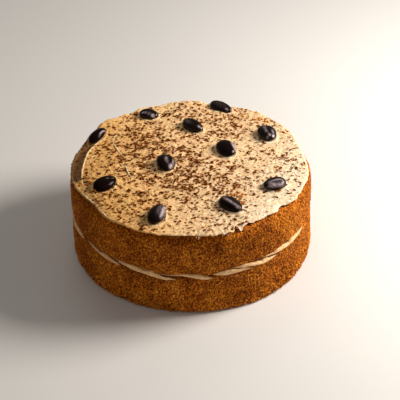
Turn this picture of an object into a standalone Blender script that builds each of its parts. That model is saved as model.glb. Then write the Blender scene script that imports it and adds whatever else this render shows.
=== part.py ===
"""A coffee layer cake: two sponges, a buttercream filling that runs right through, and buttercream on top
with chocolate shavings and eleven chocolate coffee beans.

The cake stands on z = 0 with its axis on +Z, and its front faces -Y. Lengths are in metres, angles in
radians. A bearing is measured from +X, anticlockwise seen from above, and is given in degrees.
"""
import math
import random

import bmesh
import bpy
from mathutils import Matrix, Vector
from mathutils.bvhtree import BVHTree

MM = 0.001

# Driving sizes of the cake
CAKE_RADIUS = 100.0 * MM
SPONGE_TOP = 74.4 * MM
CROWN = 0.8 * MM
ICING_THICKNESS = 3.9 * MM
SEAM_HEIGHT = 37.4 * MM
FILLING_THICKNESS = 2.4 * MM
GAP = 0.3 * MM
WELD = 0.03 * MM

# Edges of the sponges
FOOT_ROUNDING = 3.5 * MM
SEAM_ROUNDING = 2.2 * MM
SHOULDER = 6.5 * MM
BARREL = 0.5 * MM
CORNER_EASE = 1 - math.sqrt(0.5)
FLAT_RADII = (50 * MM, 76 * MM, 85 * MM)
SEGMENTS = 72

# How far the side stands in or out: waves round the cake, depth in mm, and phase
SIDE_WAVES = ((2, 0.5, 0.6), (3, 0.4, 2.1), (5, 0.25, 4.0), (8, 0.15, 1.2))

# How far the seam is lifted: bearing, spread in degrees, height in mm
SEAM_LIFTS = ((-34, 24, 5.2), (-66, 8, 2.2), (-84, 4, -1.4), (-103, 5, -1.4), (-148, 24, 2.0), (28, 42, 3.0),
              (110, 40, 1.0))

# Tongues of filling at the side: bearing, spread in degrees, extra thickness in mm
SHOWN_TONGUES = ((-140, 8, 0.7), (-127, 5, 0.9), (-115, 7, 1.9), (-95, 7, 0.9), (-81, 3.5, -1.3),
                 (-70, 6, 1.0), (-54, 7, 1.7), (-42, 6, 1.6), (-24, 8, -0.9))
HIDDEN_TONGUE_BEARINGS = range(-6, 210, 16)
TONGUE_SEED = 5
FILLING_RECESS = 1.6 * MM
TONGUE_BULGE = 1.4

# Outline of the icing: nominal radius, and where it stands in or out (bearing, spread, mm)
ICING_RADIUS = 98.6 * MM
ICING_DENTS = ((-147, 9, -4.2), (-53, 13, -4.6), (-39.5, 4.5, -4.2), (-62, 4, -2.0), (-67, 2.4, -0.8),
               (-21, 6, -0.9), (-92, 8, -1.0), (8, 15, -2.2), (73, 9, -1.6), (-111, 8, 0.3), (172, 14, 1.8),
               (139, 7, 2.2), (91, 6, 1.2))
EDGE_REACH = 6.0 * MM
EDGE_FALL = 0.9 * MM
DENT_THINNING = 0.32
RIM_THICKNESS = 2.2 * MM
RIM_TUCK = 1.3 * MM
ICING_RINGS = (84 * MM, 74 * MM, 62 * MM, 48 * MM, 32 * MM, 16 * MM)
RIM_LUMPS = ((91, 7, 1.7), (138, 8, 2.2), (114, 6, 0.7), (158, 8, 1.2), (54, 9, 1.2), (78, 5, -0.6))
LUMP_START = 80.0 * MM

# The top falls away to the rim on the left, past a curved knife edge
SLOPE_BEARING = 172.0
SLOPE_SPREAD = 19.0
SLOPE_START = 85.0 * MM
SLOPE_DEPTH = 2.6 * MM

# Broad swells that the palette knife leaves in the icing: height, direction in degrees, length in mm, phase
SWELLS = ((0.22, 8, 132, 0.7), (0.16, 68, 96, 2.0), (0.16, 141, 61, 4.1))

# Chocolate coffee beans: x, y in mm, heading in degrees, length, width, thickness in mm,
# sideways roll in degrees, depth of the crease in mm
BEANS = (
    (-35.5, 77.2, -17, 17.0, 12.2, 8.2, 4, 0.4),
    (27.8, 86.2, -39, 23.0, 11.0, 7.6, 16, 0.0),
    (-79.4, 45.0, 62, 23.5, 11.8, 8.4, -20, 0.0),
    (2.6, 55.4, -46, 22.0, 13.0, 9.4, 6, 0.5),
    (66.1, 41.2, -74, 21.4, 16.2, 9.6, -4, 0.7),
    (30.4, 18.4, -70, 22.8, 15.6, 9.6, 3, 0.0),
    (-20.8, -1.2, -88, 21.0, 15.8, 9.8, -7, 0.6),
    (-70.5, -28.0, 44, 22.3, 15.2, 9.4, 2, 0.3),
    (68.0, -34.3, 194, 19.2, 14.6, 9.2, 3, 0.5),
    (31.2, -61.6, -45, 22.8, 13.2, 9.2, 10, 1.0),
    (-27.9, -72.5, 75, 24.6, 14.2, 10.0, -5, 0.0),
)
BEAN_SINK = 2.2 * MM
BEAN_SIDES = 12
BEAN_RINGS = 8
BEAN_TAPER = 0.10
BEAN_FLATTENING = 0.86
CREASE_WIDTH = 0.13
CREASE_REACH = 0.43

# Chocolate shavings large enough to be solids, densest from the middle to the left
SHAVING_COUNT = 90
SHAVING_SEED = 11
SHAVING_LENGTHS = (2.8 * MM, 4.6 * MM)
SHAVING_WIDTH = 0.40
SHAVING_HEIGHT = 1.15 * MM
SHAVING_CLEARANCE = 2.6 * MM
SHAVING_SPACING = 7.0 * MM
SHAVING_REACH = 91.0 * MM
SHAVING_HEADING = (0.35, 0.7)

# Where the shavings drift together: x, y, spread in mm, and share
DRIFTS = ((-45, 35, 34, 1.0), (-12, -8, 40, 1.0), (-40, -52, 26, 0.8), (20, 45, 40, 0.5), (45, 5, 30, 0.3))
STRAY_WEIGHT = 0.12


def clear_scene():
    """Removes whatever the file started with."""
    for obj in list(bpy.data.objects):
        bpy.data.objects.remove(obj)


def smoothstep(low, high, value):
    """Rises smoothly from 0 at low to 1 at high."""
    t = min(max((value - low) / (high - low), 0.0), 1.0)
    return t * t * (3.0 - 2.0 * t)


def bump(angle, bearing, spread):
    """A smooth hump of height 1 round a bearing; bearing and spread are in degrees."""
    away = (math.degrees(angle) - bearing + 180.0) % 360.0 - 180.0
    return math.exp(-((away / spread) ** 2))


def bumps(angle, table):
    """The sum of a table of humps, whose heights are in mm."""
    return sum(height * MM * bump(angle, bearing, spread) for bearing, spread, height in table)


def all_tongues():
    """The filling's tongues: those that show, and more of the same habit round the back."""
    draw = random.Random(TONGUE_SEED)
    tongues = list(SHOWN_TONGUES)
    for bearing in HIDDEN_TONGUE_BEARINGS:
        tongues.append((bearing + draw.uniform(-4, 4), draw.uniform(4, 8), draw.uniform(-1.1, 1.9)))
    return tongues


TONGUES = all_tongues()


def side_radius(angle):
    """Radius of the cake's side, with its gentle waves."""
    return CAKE_RADIUS + sum(depth * MM * math.cos(n * angle + phase) for n, depth, phase in SIDE_WAVES)


def rim_share(radius):
    """0 in the middle of the cake and 1 at the side, for what happens only near the side."""
    return smoothstep(FLAT_RADII[-2], CAKE_RADIUS, radius)


def seam_height(angle, radius):
    """Height of the filling's middle."""
    return SEAM_HEIGHT + bumps(angle, SEAM_LIFTS) * (radius / CAKE_RADIUS) ** 2


def filling_half(angle, radius):
    """Half the filling's thickness."""
    return (FILLING_THICKNESS + bumps(angle, TONGUES) * rim_share(radius)) / 2


def left_slope(angle, radius):
    """How far the top has fallen away towards the rim on the left."""
    outwards = smoothstep(SLOPE_START, CAKE_RADIUS, radius)
    return SLOPE_DEPTH * bump(angle, SLOPE_BEARING, SLOPE_SPREAD) * outwards


def crown_height(angle, radius):
    """Height of the upper sponge's top, inside its rounded shoulder."""
    return SPONGE_TOP + CROWN * (1 - (radius / CAKE_RADIUS) ** 2) - left_slope(angle, radius)


def shoulder_drop(angle, radius):
    """How far the rounded shoulder lies below the top at a radius."""
    t = min(max((radius - side_radius(angle)) / SHOULDER + 1.0, 0.0), 1.0)
    return SHOULDER * (1 - math.sqrt(1 - t * t))


def icing_radius(angle):
    """Outline of the icing seen from above."""
    return ICING_RADIUS + bumps(angle, ICING_DENTS)


def swell(angle, radius):
    """Broad low waves in the icing."""
    total = 0.0
    for height, direction, length, phase in SWELLS:
        along = radius * math.cos(angle - math.radians(direction))
        total += height * MM * math.sin(2 * math.pi * along / (length * MM) + phase)
    return total


def icing_height(angle, radius):
    """Height of the icing's top surface."""
    height = crown_height(angle, radius) + ICING_THICKNESS + swell(angle, radius)
    height += bumps(angle, RIM_LUMPS) * smoothstep(LUMP_START, CAKE_RADIUS, radius)
    edge = icing_radius(angle)
    inset = max(ICING_RADIUS - edge, 0.0)
    near = min(max(1.0 - (edge - radius) / EDGE_REACH, 0.0), 1.0)
    return height - (EDGE_FALL + DENT_THINNING * inset) * near ** 2


def polar(angle, radius, height):
    """A point from its bearing, radius and height."""
    return Vector((radius * math.cos(angle), radius * math.sin(angle), height))


def ring(radius_at, height_at):
    """One ring of points; radius and height may depend on the bearing."""
    points = []
    for i in range(SEGMENTS):
        angle = 2 * math.pi * i / SEGMENTS
        radius = radius_at(angle)
        points.append(polar(angle, radius, height_at(angle, radius)))
    return points


def level_rings(radii, height_at):
    """Rings at fixed radii on a surface."""
    return [ring(lambda angle, r=radius: r, height_at) for radius in radii]


def span(points):
    """Mean radius of a ring."""
    return sum(p.to_2d().length for p in points) / len(points)


def ringed_solid(name, low, rings, high, material, cake):
    """One closed solid from rings that run from the underside's middle, round the side, to the top's middle.

    Quads are split from the inner ring to the next point of the outer one, so that two surfaces with the
    same rings lie parallel, whichever way they face.
    """
    bm = bmesh.new()
    bottom = bm.verts.new(low)
    loops = [[bm.verts.new(p) for p in points] for points in rings]
    top = bm.verts.new(high)
    outward = [span(b) >= span(a) for a, b in zip(rings, rings[1:])]
    for i in range(SEGMENTS):
        j = (i + 1) % SEGMENTS
        bm.faces.new((bottom, loops[0][j], loops[0][i]))
        bm.faces.new((loops[-1][i], loops[-1][j], top))
        for first, second, out in zip(loops, loops[1:], outward):
            if out:
                bm.faces.new((first[i], first[j], second[j]))
                bm.faces.new((first[i], second[j], second[i]))
            else:
                bm.faces.new((first[i], first[j], second[i]))
                bm.faces.new((first[j], second[j], second[i]))
    mesh = bpy.data.meshes.new(name)
    bm.to_mesh(mesh)
    bm.free()
    obj = bpy.data.objects.new(name, mesh)
    return finish_solid(obj, material, cake)


def finish_solid(obj, material, cake):
    """Shades a solid, gives it its material, and hangs it on the cake's empty."""
    obj.data.shade_smooth()
    obj.data.set_sharp_from_angle(angle=math.radians(50))
    obj.data.materials.clear()
    obj.data.materials.append(material)
    if obj.name not in bpy.context.scene.collection.objects:
        bpy.context.scene.collection.objects.link(obj)
    obj.parent = cake
    return obj


def plain_material(name, colour, roughness, subsurface=0.0):
    """A Principled material of one colour."""
    material = bpy.data.materials.new(name)
    material.use_nodes = True
    shader = material.node_tree.nodes["Principled BSDF"]
    shader.inputs["Base Color"].default_value = (*colour, 1.0)
    shader.inputs["Roughness"].default_value = roughness
    shader.inputs["Metallic"].default_value = 0.0
    shader.inputs["Subsurface Weight"].default_value = subsurface
    material.diffuse_color = (*colour, 1.0)
    return material


def rounded_edge(height_at, turns):
    """Rings round a sponge's edge at the seam; a turn is a share of the rounding, inwards and downwards."""
    rings = []
    for inwards, downwards in turns:
        rings.append(ring(lambda a, k=inwards: side_radius(a) - k * SEAM_ROUNDING,
                          lambda a, r, k=downwards: height_at(a) - k * SEAM_ROUNDING))
    return rings


def lower_sponge(material, cake):
    """The bottom sponge, with a rounded foot and a softer edge at the seam."""
    def top(angle, radius):
        return seam_height(angle, radius) - filling_half(angle, radius) - GAP

    def edge_top(angle):
        return top(angle, CAKE_RADIUS)

    foot_ease = CORNER_EASE * FOOT_ROUNDING
    rings = [
        ring(lambda a: side_radius(a) - FOOT_ROUNDING, lambda a, r: 0.0),
        ring(lambda a: side_radius(a) - foot_ease, lambda a, r: foot_ease),
        ring(side_radius, lambda a, r: FOOT_ROUNDING),
        ring(lambda a: side_radius(a) + BARREL, lambda a, r: 0.5 * SEAM_HEIGHT),
    ]
    rings += rounded_edge(edge_top, ((0, 1), (CORNER_EASE, CORNER_EASE)))
    rings += [ring(lambda a: side_radius(a) - SEAM_ROUNDING, lambda a, r: edge_top(a))]
    rings += level_rings(reversed(FLAT_RADII[:-1]), top)
    high = Vector((0, 0, top(0.0, 0.0)))
    return ringed_solid("sponge_bottom", Vector((0, 0, 0)), rings, high, material, cake)


def filling(material, cake):
    """The buttercream between the sponges, thin and thick in turn where it shows at the side."""
    def edge(angle):
        proud = max(filling_half(angle, CAKE_RADIUS) - FILLING_THICKNESS / 2, 0.0)
        return side_radius(angle) - FILLING_RECESS + TONGUE_BULGE * proud

    def under(angle, radius):
        return seam_height(angle, radius) - filling_half(angle, radius)

    def over(angle, radius):
        return seam_height(angle, radius) + filling_half(angle, radius)

    def inner_edge(angle):
        return side_radius(angle) - SEAM_ROUNDING

    flat = FLAT_RADII[:-1]
    rings = level_rings(flat, under)
    rings += [ring(inner_edge, lambda a, r: under(a, CAKE_RADIUS))]
    rings += [ring(edge, lambda a, r: seam_height(a, CAKE_RADIUS))]
    rings += [ring(inner_edge, lambda a, r: over(a, CAKE_RADIUS))]
    rings += level_rings(reversed(flat), over)
    return ringed_solid("filling", Vector((0, 0, under(0.0, 0.0))), rings, Vector((0, 0, over(0.0, 0.0))),
                        material, cake)


def upper_sponge(material, cake):
    """The top sponge, with a rounded shoulder that shows where the icing stops short."""
    def under(angle, radius):
        return seam_height(angle, radius) + filling_half(angle, radius) + GAP

    def edge_under(angle):
        return under(angle, CAKE_RADIUS)

    def shoulder_ring(turn):
        return ring(lambda a: side_radius(a) - SHOULDER * (1 - math.sin(turn)),
                    lambda a, r: crown_height(a, r) - SHOULDER * (1 - math.cos(turn)))

    rings = level_rings(FLAT_RADII[:-1], under)
    rings += [ring(lambda a: side_radius(a) - SEAM_ROUNDING, lambda a, r: edge_under(a))]
    rings += rounded_edge(edge_under, ((CORNER_EASE, -CORNER_EASE), (0, -1)))
    rings += [ring(lambda a: side_radius(a) + BARREL, lambda a, r: 0.5 * (SEAM_HEIGHT + SPONGE_TOP))]
    rings += [shoulder_ring(math.radians(turn)) for turn in (90, 60, 30, 0)]
    rings += level_rings(reversed(FLAT_RADII), crown_height)
    return ringed_solid("sponge_top", Vector((0, 0, under(0.0, 0.0))), rings,
                        Vector((0, 0, crown_height(0.0, 0.0))), material, cake)


def bare_icing(material, cake):
    """The icing without shavings or the hollows for the beans: an uneven disc with a soft lip."""
    def rest(angle, radius):
        return crown_height(angle, radius) - shoulder_drop(angle, radius) + GAP

    def inner(angle):
        return min(side_radius(angle) - SHOULDER, icing_radius(angle) - 2 * RIM_TUCK)

    def tuck(angle):
        return icing_radius(angle) - RIM_TUCK

    def lip_under(angle, radius):
        return max(rest(angle, radius), icing_height(angle, radius) - RIM_THICKNESS)

    def lip(angle, radius):
        return 0.5 * (icing_height(angle, radius) + lip_under(angle, tuck(angle)))

    rings = level_rings(FLAT_RADII, rest)
    rings += [ring(inner, rest), ring(tuck, lip_under), ring(icing_radius, lip)]
    for inset in (0.5 * RIM_TUCK, 0.5 * EDGE_REACH, EDGE_REACH):
        rings += [ring(lambda a, k=inset: icing_radius(a) - k, icing_height)]
    rings += level_rings(ICING_RINGS, icing_height)
    return ringed_solid("icing_top", Vector((0, 0, rest(0.0, 0.0))), rings,
                        Vector((0, 0, icing_height(0.0, 0.0))), material, cake)


def bean_mesh(name, length, width, thickness, crease):
    """One coffee bean along X: an egg-shaped dome over a flatter underside, creased along its back."""
    bm = bmesh.new()
    along_x = Matrix.Rotation(math.pi / 2, 4, "Y")
    bmesh.ops.create_uvsphere(bm, u_segments=BEAN_SIDES, v_segments=BEAN_RINGS, radius=0.5, matrix=along_x)
    for vert in bm.verts:
        x, y, z = vert.co
        taper = 1.0 - BEAN_TAPER * 2 * x
        groove = crease * math.exp(-((y / CREASE_WIDTH) ** 2)) * max(1 - (x / CREASE_REACH) ** 2, 0.0)
        if z < 0:
            z *= BEAN_FLATTENING
            groove = 0.0
        vert.co = (x * length, y * taper * width, z * taper * thickness - groove)
    bmesh.ops.triangulate(bm, faces=bm.faces)
    mesh = bpy.data.meshes.new(name)
    bm.to_mesh(mesh)
    bm.free()
    return mesh


def bean(name, row, grow=0.0):
    """One bean where it lies, sunk a little into the icing, turned to its heading and rolled to one side.

    With grow, it is the slightly larger and uncreased body that presses the bean's hollow.
    """
    x, y, heading, length, width, thickness, roll, crease = row
    depth = 0.0 if grow else crease * MM
    mesh = bean_mesh(name, length * MM + 2 * grow, width * MM + 2 * grow, thickness * MM + 2 * grow, depth)
    surface = icing_height(math.atan2(y, x), math.hypot(x, y) * MM)
    centre = Vector((x * MM, y * MM, surface + 0.5 * thickness * MM - BEAN_SINK))
    turn = Matrix.Rotation(math.radians(heading), 4, "Z") @ Matrix.Rotation(math.radians(roll), 4, "X")
    obj = bpy.data.objects.new(name, mesh)
    obj.matrix_world = Matrix.Translation(centre) @ turn
    return obj


def shaving_weight(x, y):
    """How thickly the shavings lie at a place, from 0 to 1."""
    weight = STRAY_WEIGHT
    for centre_x, centre_y, spread, share in DRIFTS:
        away = math.hypot(x - centre_x * MM, y - centre_y * MM) / (spread * MM)
        weight += share * math.exp(-(away ** 2))
    return min(weight, 1.0)


def near_bean(x, y):
    """Whether a place is too close to a bean for a shaving."""
    for bean_x, bean_y, _, length, *_ in BEANS:
        if math.hypot(x - bean_x * MM, y - bean_y * MM) < 0.5 * length * MM + SHAVING_CLEARANCE:
            return True
    return False


def shaving_spots():
    """Places for the shavings: seeded draws, kept apart, clear of the beans, denser in the drifts."""
    draw = random.Random(SHAVING_SEED)
    spots = []
    while len(spots) < SHAVING_COUNT:
        x = draw.uniform(-1, 1) * SHAVING_REACH
        y = draw.uniform(-1, 1) * SHAVING_REACH
        heading = draw.gauss(*SHAVING_HEADING)
        length = draw.uniform(*SHAVING_LENGTHS)
        chosen = draw.random() < shaving_weight(x, y)
        crowded = any(math.hypot(x - spot[0], y - spot[1]) < SHAVING_SPACING for spot in spots)
        if chosen and not crowded and not near_bean(x, y) and math.hypot(x, y) < SHAVING_REACH:
            spots.append((x, y, heading, length))
    return spots


def shaving(index, spot, surface):
    """One curled shaving, as a small faceted spindle set into the icing."""
    x, y, heading, length = spot
    place, normal, _, _ = surface.ray_cast(Vector((x, y, 1.0)), Vector((0, 0, -1)))
    mesh = bpy.data.meshes.new(f"shaving_{index:03d}")
    bm = bmesh.new()
    size = Matrix.Diagonal((length, length * SHAVING_WIDTH, SHAVING_HEIGHT, 1.0))
    lean = Vector((0, 0, 1)).rotation_difference(normal).to_matrix().to_4x4()
    where = Matrix.Translation(place) @ lean @ Matrix.Rotation(heading, 4, "Z") @ size
    bmesh.ops.create_icosphere(bm, subdivisions=1, radius=0.5)
    bm.transform(where)
    bm.to_mesh(mesh)
    bm.free()
    return bpy.data.objects.new(mesh.name, mesh)


def weld(mesh):
    """Draws together the points that a Boolean leaves almost on top of one another."""
    bm = bmesh.new()
    bm.from_mesh(mesh)
    bmesh.ops.remove_doubles(bm, verts=bm.verts, dist=WELD)
    bmesh.ops.dissolve_degenerate(bm, edges=bm.edges, dist=WELD)
    bm.to_mesh(mesh)
    bm.free()


def combine(target, pieces, operation):
    """Joins or cuts a whole collection of pieces in one Boolean, applies it, and removes the pieces."""
    group = bpy.data.collections.new(operation.lower())
    bpy.context.scene.collection.children.link(group)
    for piece in pieces:
        group.objects.link(piece)
    modifier = target.modifiers.new(operation.lower(), "BOOLEAN")
    modifier.operation = operation
    modifier.operand_type = "COLLECTION"
    modifier.collection = group
    modifier.solver = "EXACT"
    evaluated = target.evaluated_get(bpy.context.evaluated_depsgraph_get())
    result = bpy.data.meshes.new_from_object(evaluated)
    target.modifiers.remove(modifier)
    target.data = result
    weld(result)
    for piece in pieces:
        bpy.data.objects.remove(piece)
    bpy.data.collections.remove(group)


def icing_with_shavings(material, cake):
    """The finished icing: shavings fused on, and a hollow pressed in for each bean."""
    obj = bare_icing(material, cake)
    points = [vert.co for vert in obj.data.vertices]
    surface = BVHTree.FromPolygons(points, [face.vertices for face in obj.data.polygons])
    shavings = [shaving(i, spot, surface) for i, spot in enumerate(shaving_spots(), start=1)]
    combine(obj, shavings, "UNION")
    hollows = [bean(f"hollow_{i:02d}", row, GAP) for i, row in enumerate(BEANS, start=1)]
    combine(obj, hollows, "DIFFERENCE")
    return finish_solid(obj, material, cake)


def build_cake():
    """Makes every piece of the cake."""
    clear_scene()
    cake = bpy.data.objects.new("coffee_cake", None)
    bpy.context.scene.collection.objects.link(cake)
    crumb = plain_material("sponge", (0.48, 0.20, 0.045), 0.85)
    cream = plain_material("buttercream", (0.80, 0.58, 0.34), 0.50, 0.1)
    chocolate = plain_material("chocolate", (0.020, 0.011, 0.010), 0.28)
    lower_sponge(crumb, cake)
    filling(cream, cake)
    upper_sponge(crumb, cake)
    icing_with_shavings(cream, cake)
    for index, row in enumerate(BEANS, start=1):
        finish_solid(bean(f"bean_{index:02d}", row), chocolate, cake)


build_cake()
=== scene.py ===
"""The looks of a coffee layer cake: porous sponges, a smeared buttercream filling, and a buttercream top
spread with a knife, under chocolate shavings and chocolate coffee beans.

The forms repeat those of the solids that the pieces stand for, and add the fine relief. Lengths are in
metres, with the cake's axis on +Z and its front towards -Y, but rows of numbers hold millimetres and degrees.
A bearing is measured from +X, anticlockwise seen from above. A layer of relief is its depth, its size and a
seed. Points are worked on as whole arrays, so angle, radius, x and y are arrays throughout.
"""

import itertools
import math
import random

import bpy
import numpy as np
from mathutils import Matrix, Vector


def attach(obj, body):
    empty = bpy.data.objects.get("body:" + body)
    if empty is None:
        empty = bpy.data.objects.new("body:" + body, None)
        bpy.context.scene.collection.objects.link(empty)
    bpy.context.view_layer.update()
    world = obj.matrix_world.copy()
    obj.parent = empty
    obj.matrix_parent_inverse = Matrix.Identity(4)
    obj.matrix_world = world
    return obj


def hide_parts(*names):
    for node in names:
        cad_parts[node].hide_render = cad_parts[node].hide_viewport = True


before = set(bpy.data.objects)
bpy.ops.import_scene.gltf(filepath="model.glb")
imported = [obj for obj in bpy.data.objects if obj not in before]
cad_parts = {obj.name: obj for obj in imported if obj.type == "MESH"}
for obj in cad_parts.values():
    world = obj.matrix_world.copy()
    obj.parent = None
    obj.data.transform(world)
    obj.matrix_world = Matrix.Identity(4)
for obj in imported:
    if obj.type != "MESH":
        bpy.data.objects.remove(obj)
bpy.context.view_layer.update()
MM = 0.001
QUARTER = math.pi / 2

# Camera: place, direction and lens, in metres, radians and millimetres
CAMERA_PLACE = Vector((0.0, -1.03545, 0.78366))
CAMERA_YAW = 0.00695479
CAMERA_PITCH = -0.62157665
CAMERA_ROLL = -0.02008118
CAMERA_LENS = 135.0
CAMERA_SENSOR = 36.0

# Driving sizes of the cake
CAKE_RADIUS = 100.0 * MM
SPONGE_TOP = 74.4 * MM
CROWN = 0.8 * MM
ICING_THICKNESS = 3.9 * MM
SEAM_HEIGHT = 37.4 * MM
FILLING_THICKNESS = 2.4 * MM
GAP = 0.3 * MM

# Edges of the sponges
FOOT_ROUNDING = 3.5 * MM
SEAM_ROUNDING = 2.2 * MM
SHOULDER = 6.5 * MM
BARREL = 0.5 * MM
FLAT_RADII = (50 * MM, 76 * MM, 85 * MM)

# How far the side stands in or out: waves round the cake, depth, phase
SIDE_WAVES = ((2, 0.5, 0.6), (3, 0.4, 2.1), (5, 0.25, 4.0), (8, 0.15, 1.2))

# How far the seam is lifted: bearing, spread, height
SEAM_LIFTS = ((-34, 24, 5.2), (-66, 8, 2.2), (-84, 4, -1.4), (-103, 5, -1.4), (-148, 24, 2.0), (28, 42, 3.0),
              (110, 40, 1.0))

# Tongues of filling at the side: bearing, spread, extra thickness. Those out of view are drawn from ranges of
# shift, spread and thickness
SHOWN_TONGUES = ((-140, 8, 0.7), (-127, 5, 0.9), (-115, 7, 1.9), (-95, 7, 0.9), (-81, 3.5, -1.3),
                 (-70, 6, 1.0), (-54, 7, 1.7), (-42, 6, 1.6), (-24, 8, -0.9))
HIDDEN_TONGUE_BEARINGS = range(-6, 210, 16)
HIDDEN_TONGUE_RANGES = ((-4, 4), (4, 8), (-1.1, 1.9))
TONGUE_SEED = 5

# Outline of the icing: its radius, and where it stands in or out (bearing, spread, distance)
ICING_RADIUS = 98.6 * MM
ICING_DENTS = ((-147, 9, -4.2), (-53, 13, -4.6), (-39.5, 4.5, -4.2), (-62, 4, -2.0), (-67, 2.4, -0.8),
               (-21, 6, -0.9), (-92, 8, -1.0), (8, 15, -2.2), (73, 9, -1.6), (-111, 8, 0.3), (172, 14, 1.8),
               (139, 7, 2.2), (91, 6, 1.2))

# The icing's edge: how it falls to the rim, how it is trimmed, how dents thin it on the right (by the cosine
# of the bearing), its soft roll, and its lumps
EDGE_REACH = 6.0 * MM
EDGE_SHARPNESS = 3
EDGE_FALL = 0.4 * MM
EDGE_TRIM = ((-94, 10, -0.7), (-56, 14, -1.0), (-128, 5, -0.6))
DENT_THINNING = 0.32
THINNED_SIDE = (-0.4, 0.2)
RIM_ROLL = 0.6 * MM
RIM_ROLL_WIDTH = 0.8 * MM
RIM_LUMPS = ((91, 7, 1.7), (138, 8, 2.2), (114, 6, 0.7), (158, 8, 1.2), (54, 9, 1.2), (78, 5, -0.6))
LUMP_START = 80.0 * MM

# The icing's lip, and its rings from the top down: how far out where it is firm and where it is feathered,
# and the share of the way to its foot
LIP_HEIGHT = 0.8 * MM
LIP_LEAST = 0.5 * MM
LIP_BITE = 0.2 * MM
RIM_TUCK = 1.3 * MM
LIP_RINGS = ((0.16, 0.25, 0.16), (0.26, 0.50, 0.38), (0.24, 0.75, 0.62), (0.08, 0.90, 0.84),
             (-0.4, 0.80, 1.0))
LIP_WAVE = ((0.18, 3, 121),)

# The icing's ragged edge: where it is feathered most (bearing, spread, share), and its layers. Its tears show
# on the far side, by the bearing's sine
FEATHER_LEAST = 0.25
FEATHERED = ((-45, 24, 0.75), (-82, 7, 0.7), (-140, 16, 0.5), (60, 30, 0.3), (174, 14, 1.0), (136, 14, 0.5))
EDGE_WAVE = ((0.35, 7, 111),)
EDGE_RAGS = ((0.48, 2.6, 112), (0.36, 1.3, 113))
EDGE_TEARS = ((0.55, 4.0, 114), (0.40, 2.0, 115))
TORN_SIDE = (-0.2, 0.3)
TORN_REACH = (0.93, 0.98)

# Spikes and nicks of the icing's edge: bearing, spread, length
EDGE_SPIKES = ((-82.3, 0.5, -0.6), (-77.0, 0.5, -0.5), (-80.4, 0.5, 0.4), (-74.9, 0.5, 0.5),
               (-66.4, 1.2, 1.4), (-68.8, 1.0, -4.0), (-71.0, 0.9, 0.7), (-28.0, 1.4, -1.2), (-172, 1.5, 1.2))
SPIKE_REACH = (0.93, 1.0)
SPIKE_FALL = 1.4

# The top falls away to the rim on the left, past a curved knife edge
SLOPE_BEARING = 172.0
SLOPE_SPREAD = 19.0
SLOPE_START = 85.0 * MM
SLOPE_DEPTH = 2.6 * MM

# Broad swells that the palette knife leaves in the icing: height, direction, length, phase
SWELLS = ((0.22, 8, 132, 0.7), (0.16, 68, 96, 2.0), (0.16, 141, 61, 4.1))

# Fine lumps of the icing, and their least and growth with the share of small shavings
ICING_LUMPS = ((0.20, 4.2, 101), (0.30, 1.9, 102))
LUMPINESS = (0.55, 0.75)

# Chocolate coffee beans: x, y, heading, length, width, thickness, sideways roll, depth of the crease
BEANS = (
    (-35.5, 77.2, -17, 17.0, 12.2, 8.2, 4, 0.4),
    (27.8, 86.2, -39, 23.0, 11.0, 7.6, 16, 0.0),
    (-79.4, 45.0, 62, 23.5, 11.8, 8.4, -20, 0.0),
    (2.6, 55.4, -46, 22.0, 13.0, 9.4, 6, 0.5),
    (66.1, 41.2, -74, 21.4, 16.2, 9.6, -4, 0.7),
    (30.4, 18.4, -70, 22.8, 15.6, 9.6, 3, 0.0),
    (-20.8, -1.2, -88, 21.0, 15.8, 9.8, -7, 0.6),
    (-70.5, -28.0, 44, 22.3, 15.2, 9.4, 2, 0.3),
    (68.0, -34.3, 194, 19.2, 14.6, 9.2, 3, 0.5),
    (31.2, -61.6, -45, 22.8, 13.2, 9.2, 10, 1.0),
    (-27.9, -72.5, 75, 24.6, 14.2, 10.0, -5, 0.0),
)
BEAN_SINK = 2.2 * MM
BEAN_TAPER = 0.10
BEAN_FLATTENING = 0.86
CREASE_WIDTH = 0.13
CREASE_REACH = 0.43
CREASE_BEND = 0.045

# Lumps of a bean: share of its size, size in its lengths, and seed, to which its number is added
BEAN_LUMPS = ((0.028, 0.42, 150), (0.014, 0.17, 170))

# The soft rim that a bean pushes up round its hollow: least and added height, then its place and width, and
# those of its pale ring, kept clear of dust and painted paler as a highlight, in half sizes of the bean
RIM_HEIGHTS = (0.35, 0.75)
RIM_SHAPE = (1.06, 0.12)
RIM_SHOWN = (1.08, 0.10)
HOLLOW_GAP = 0.12 * MM
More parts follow.
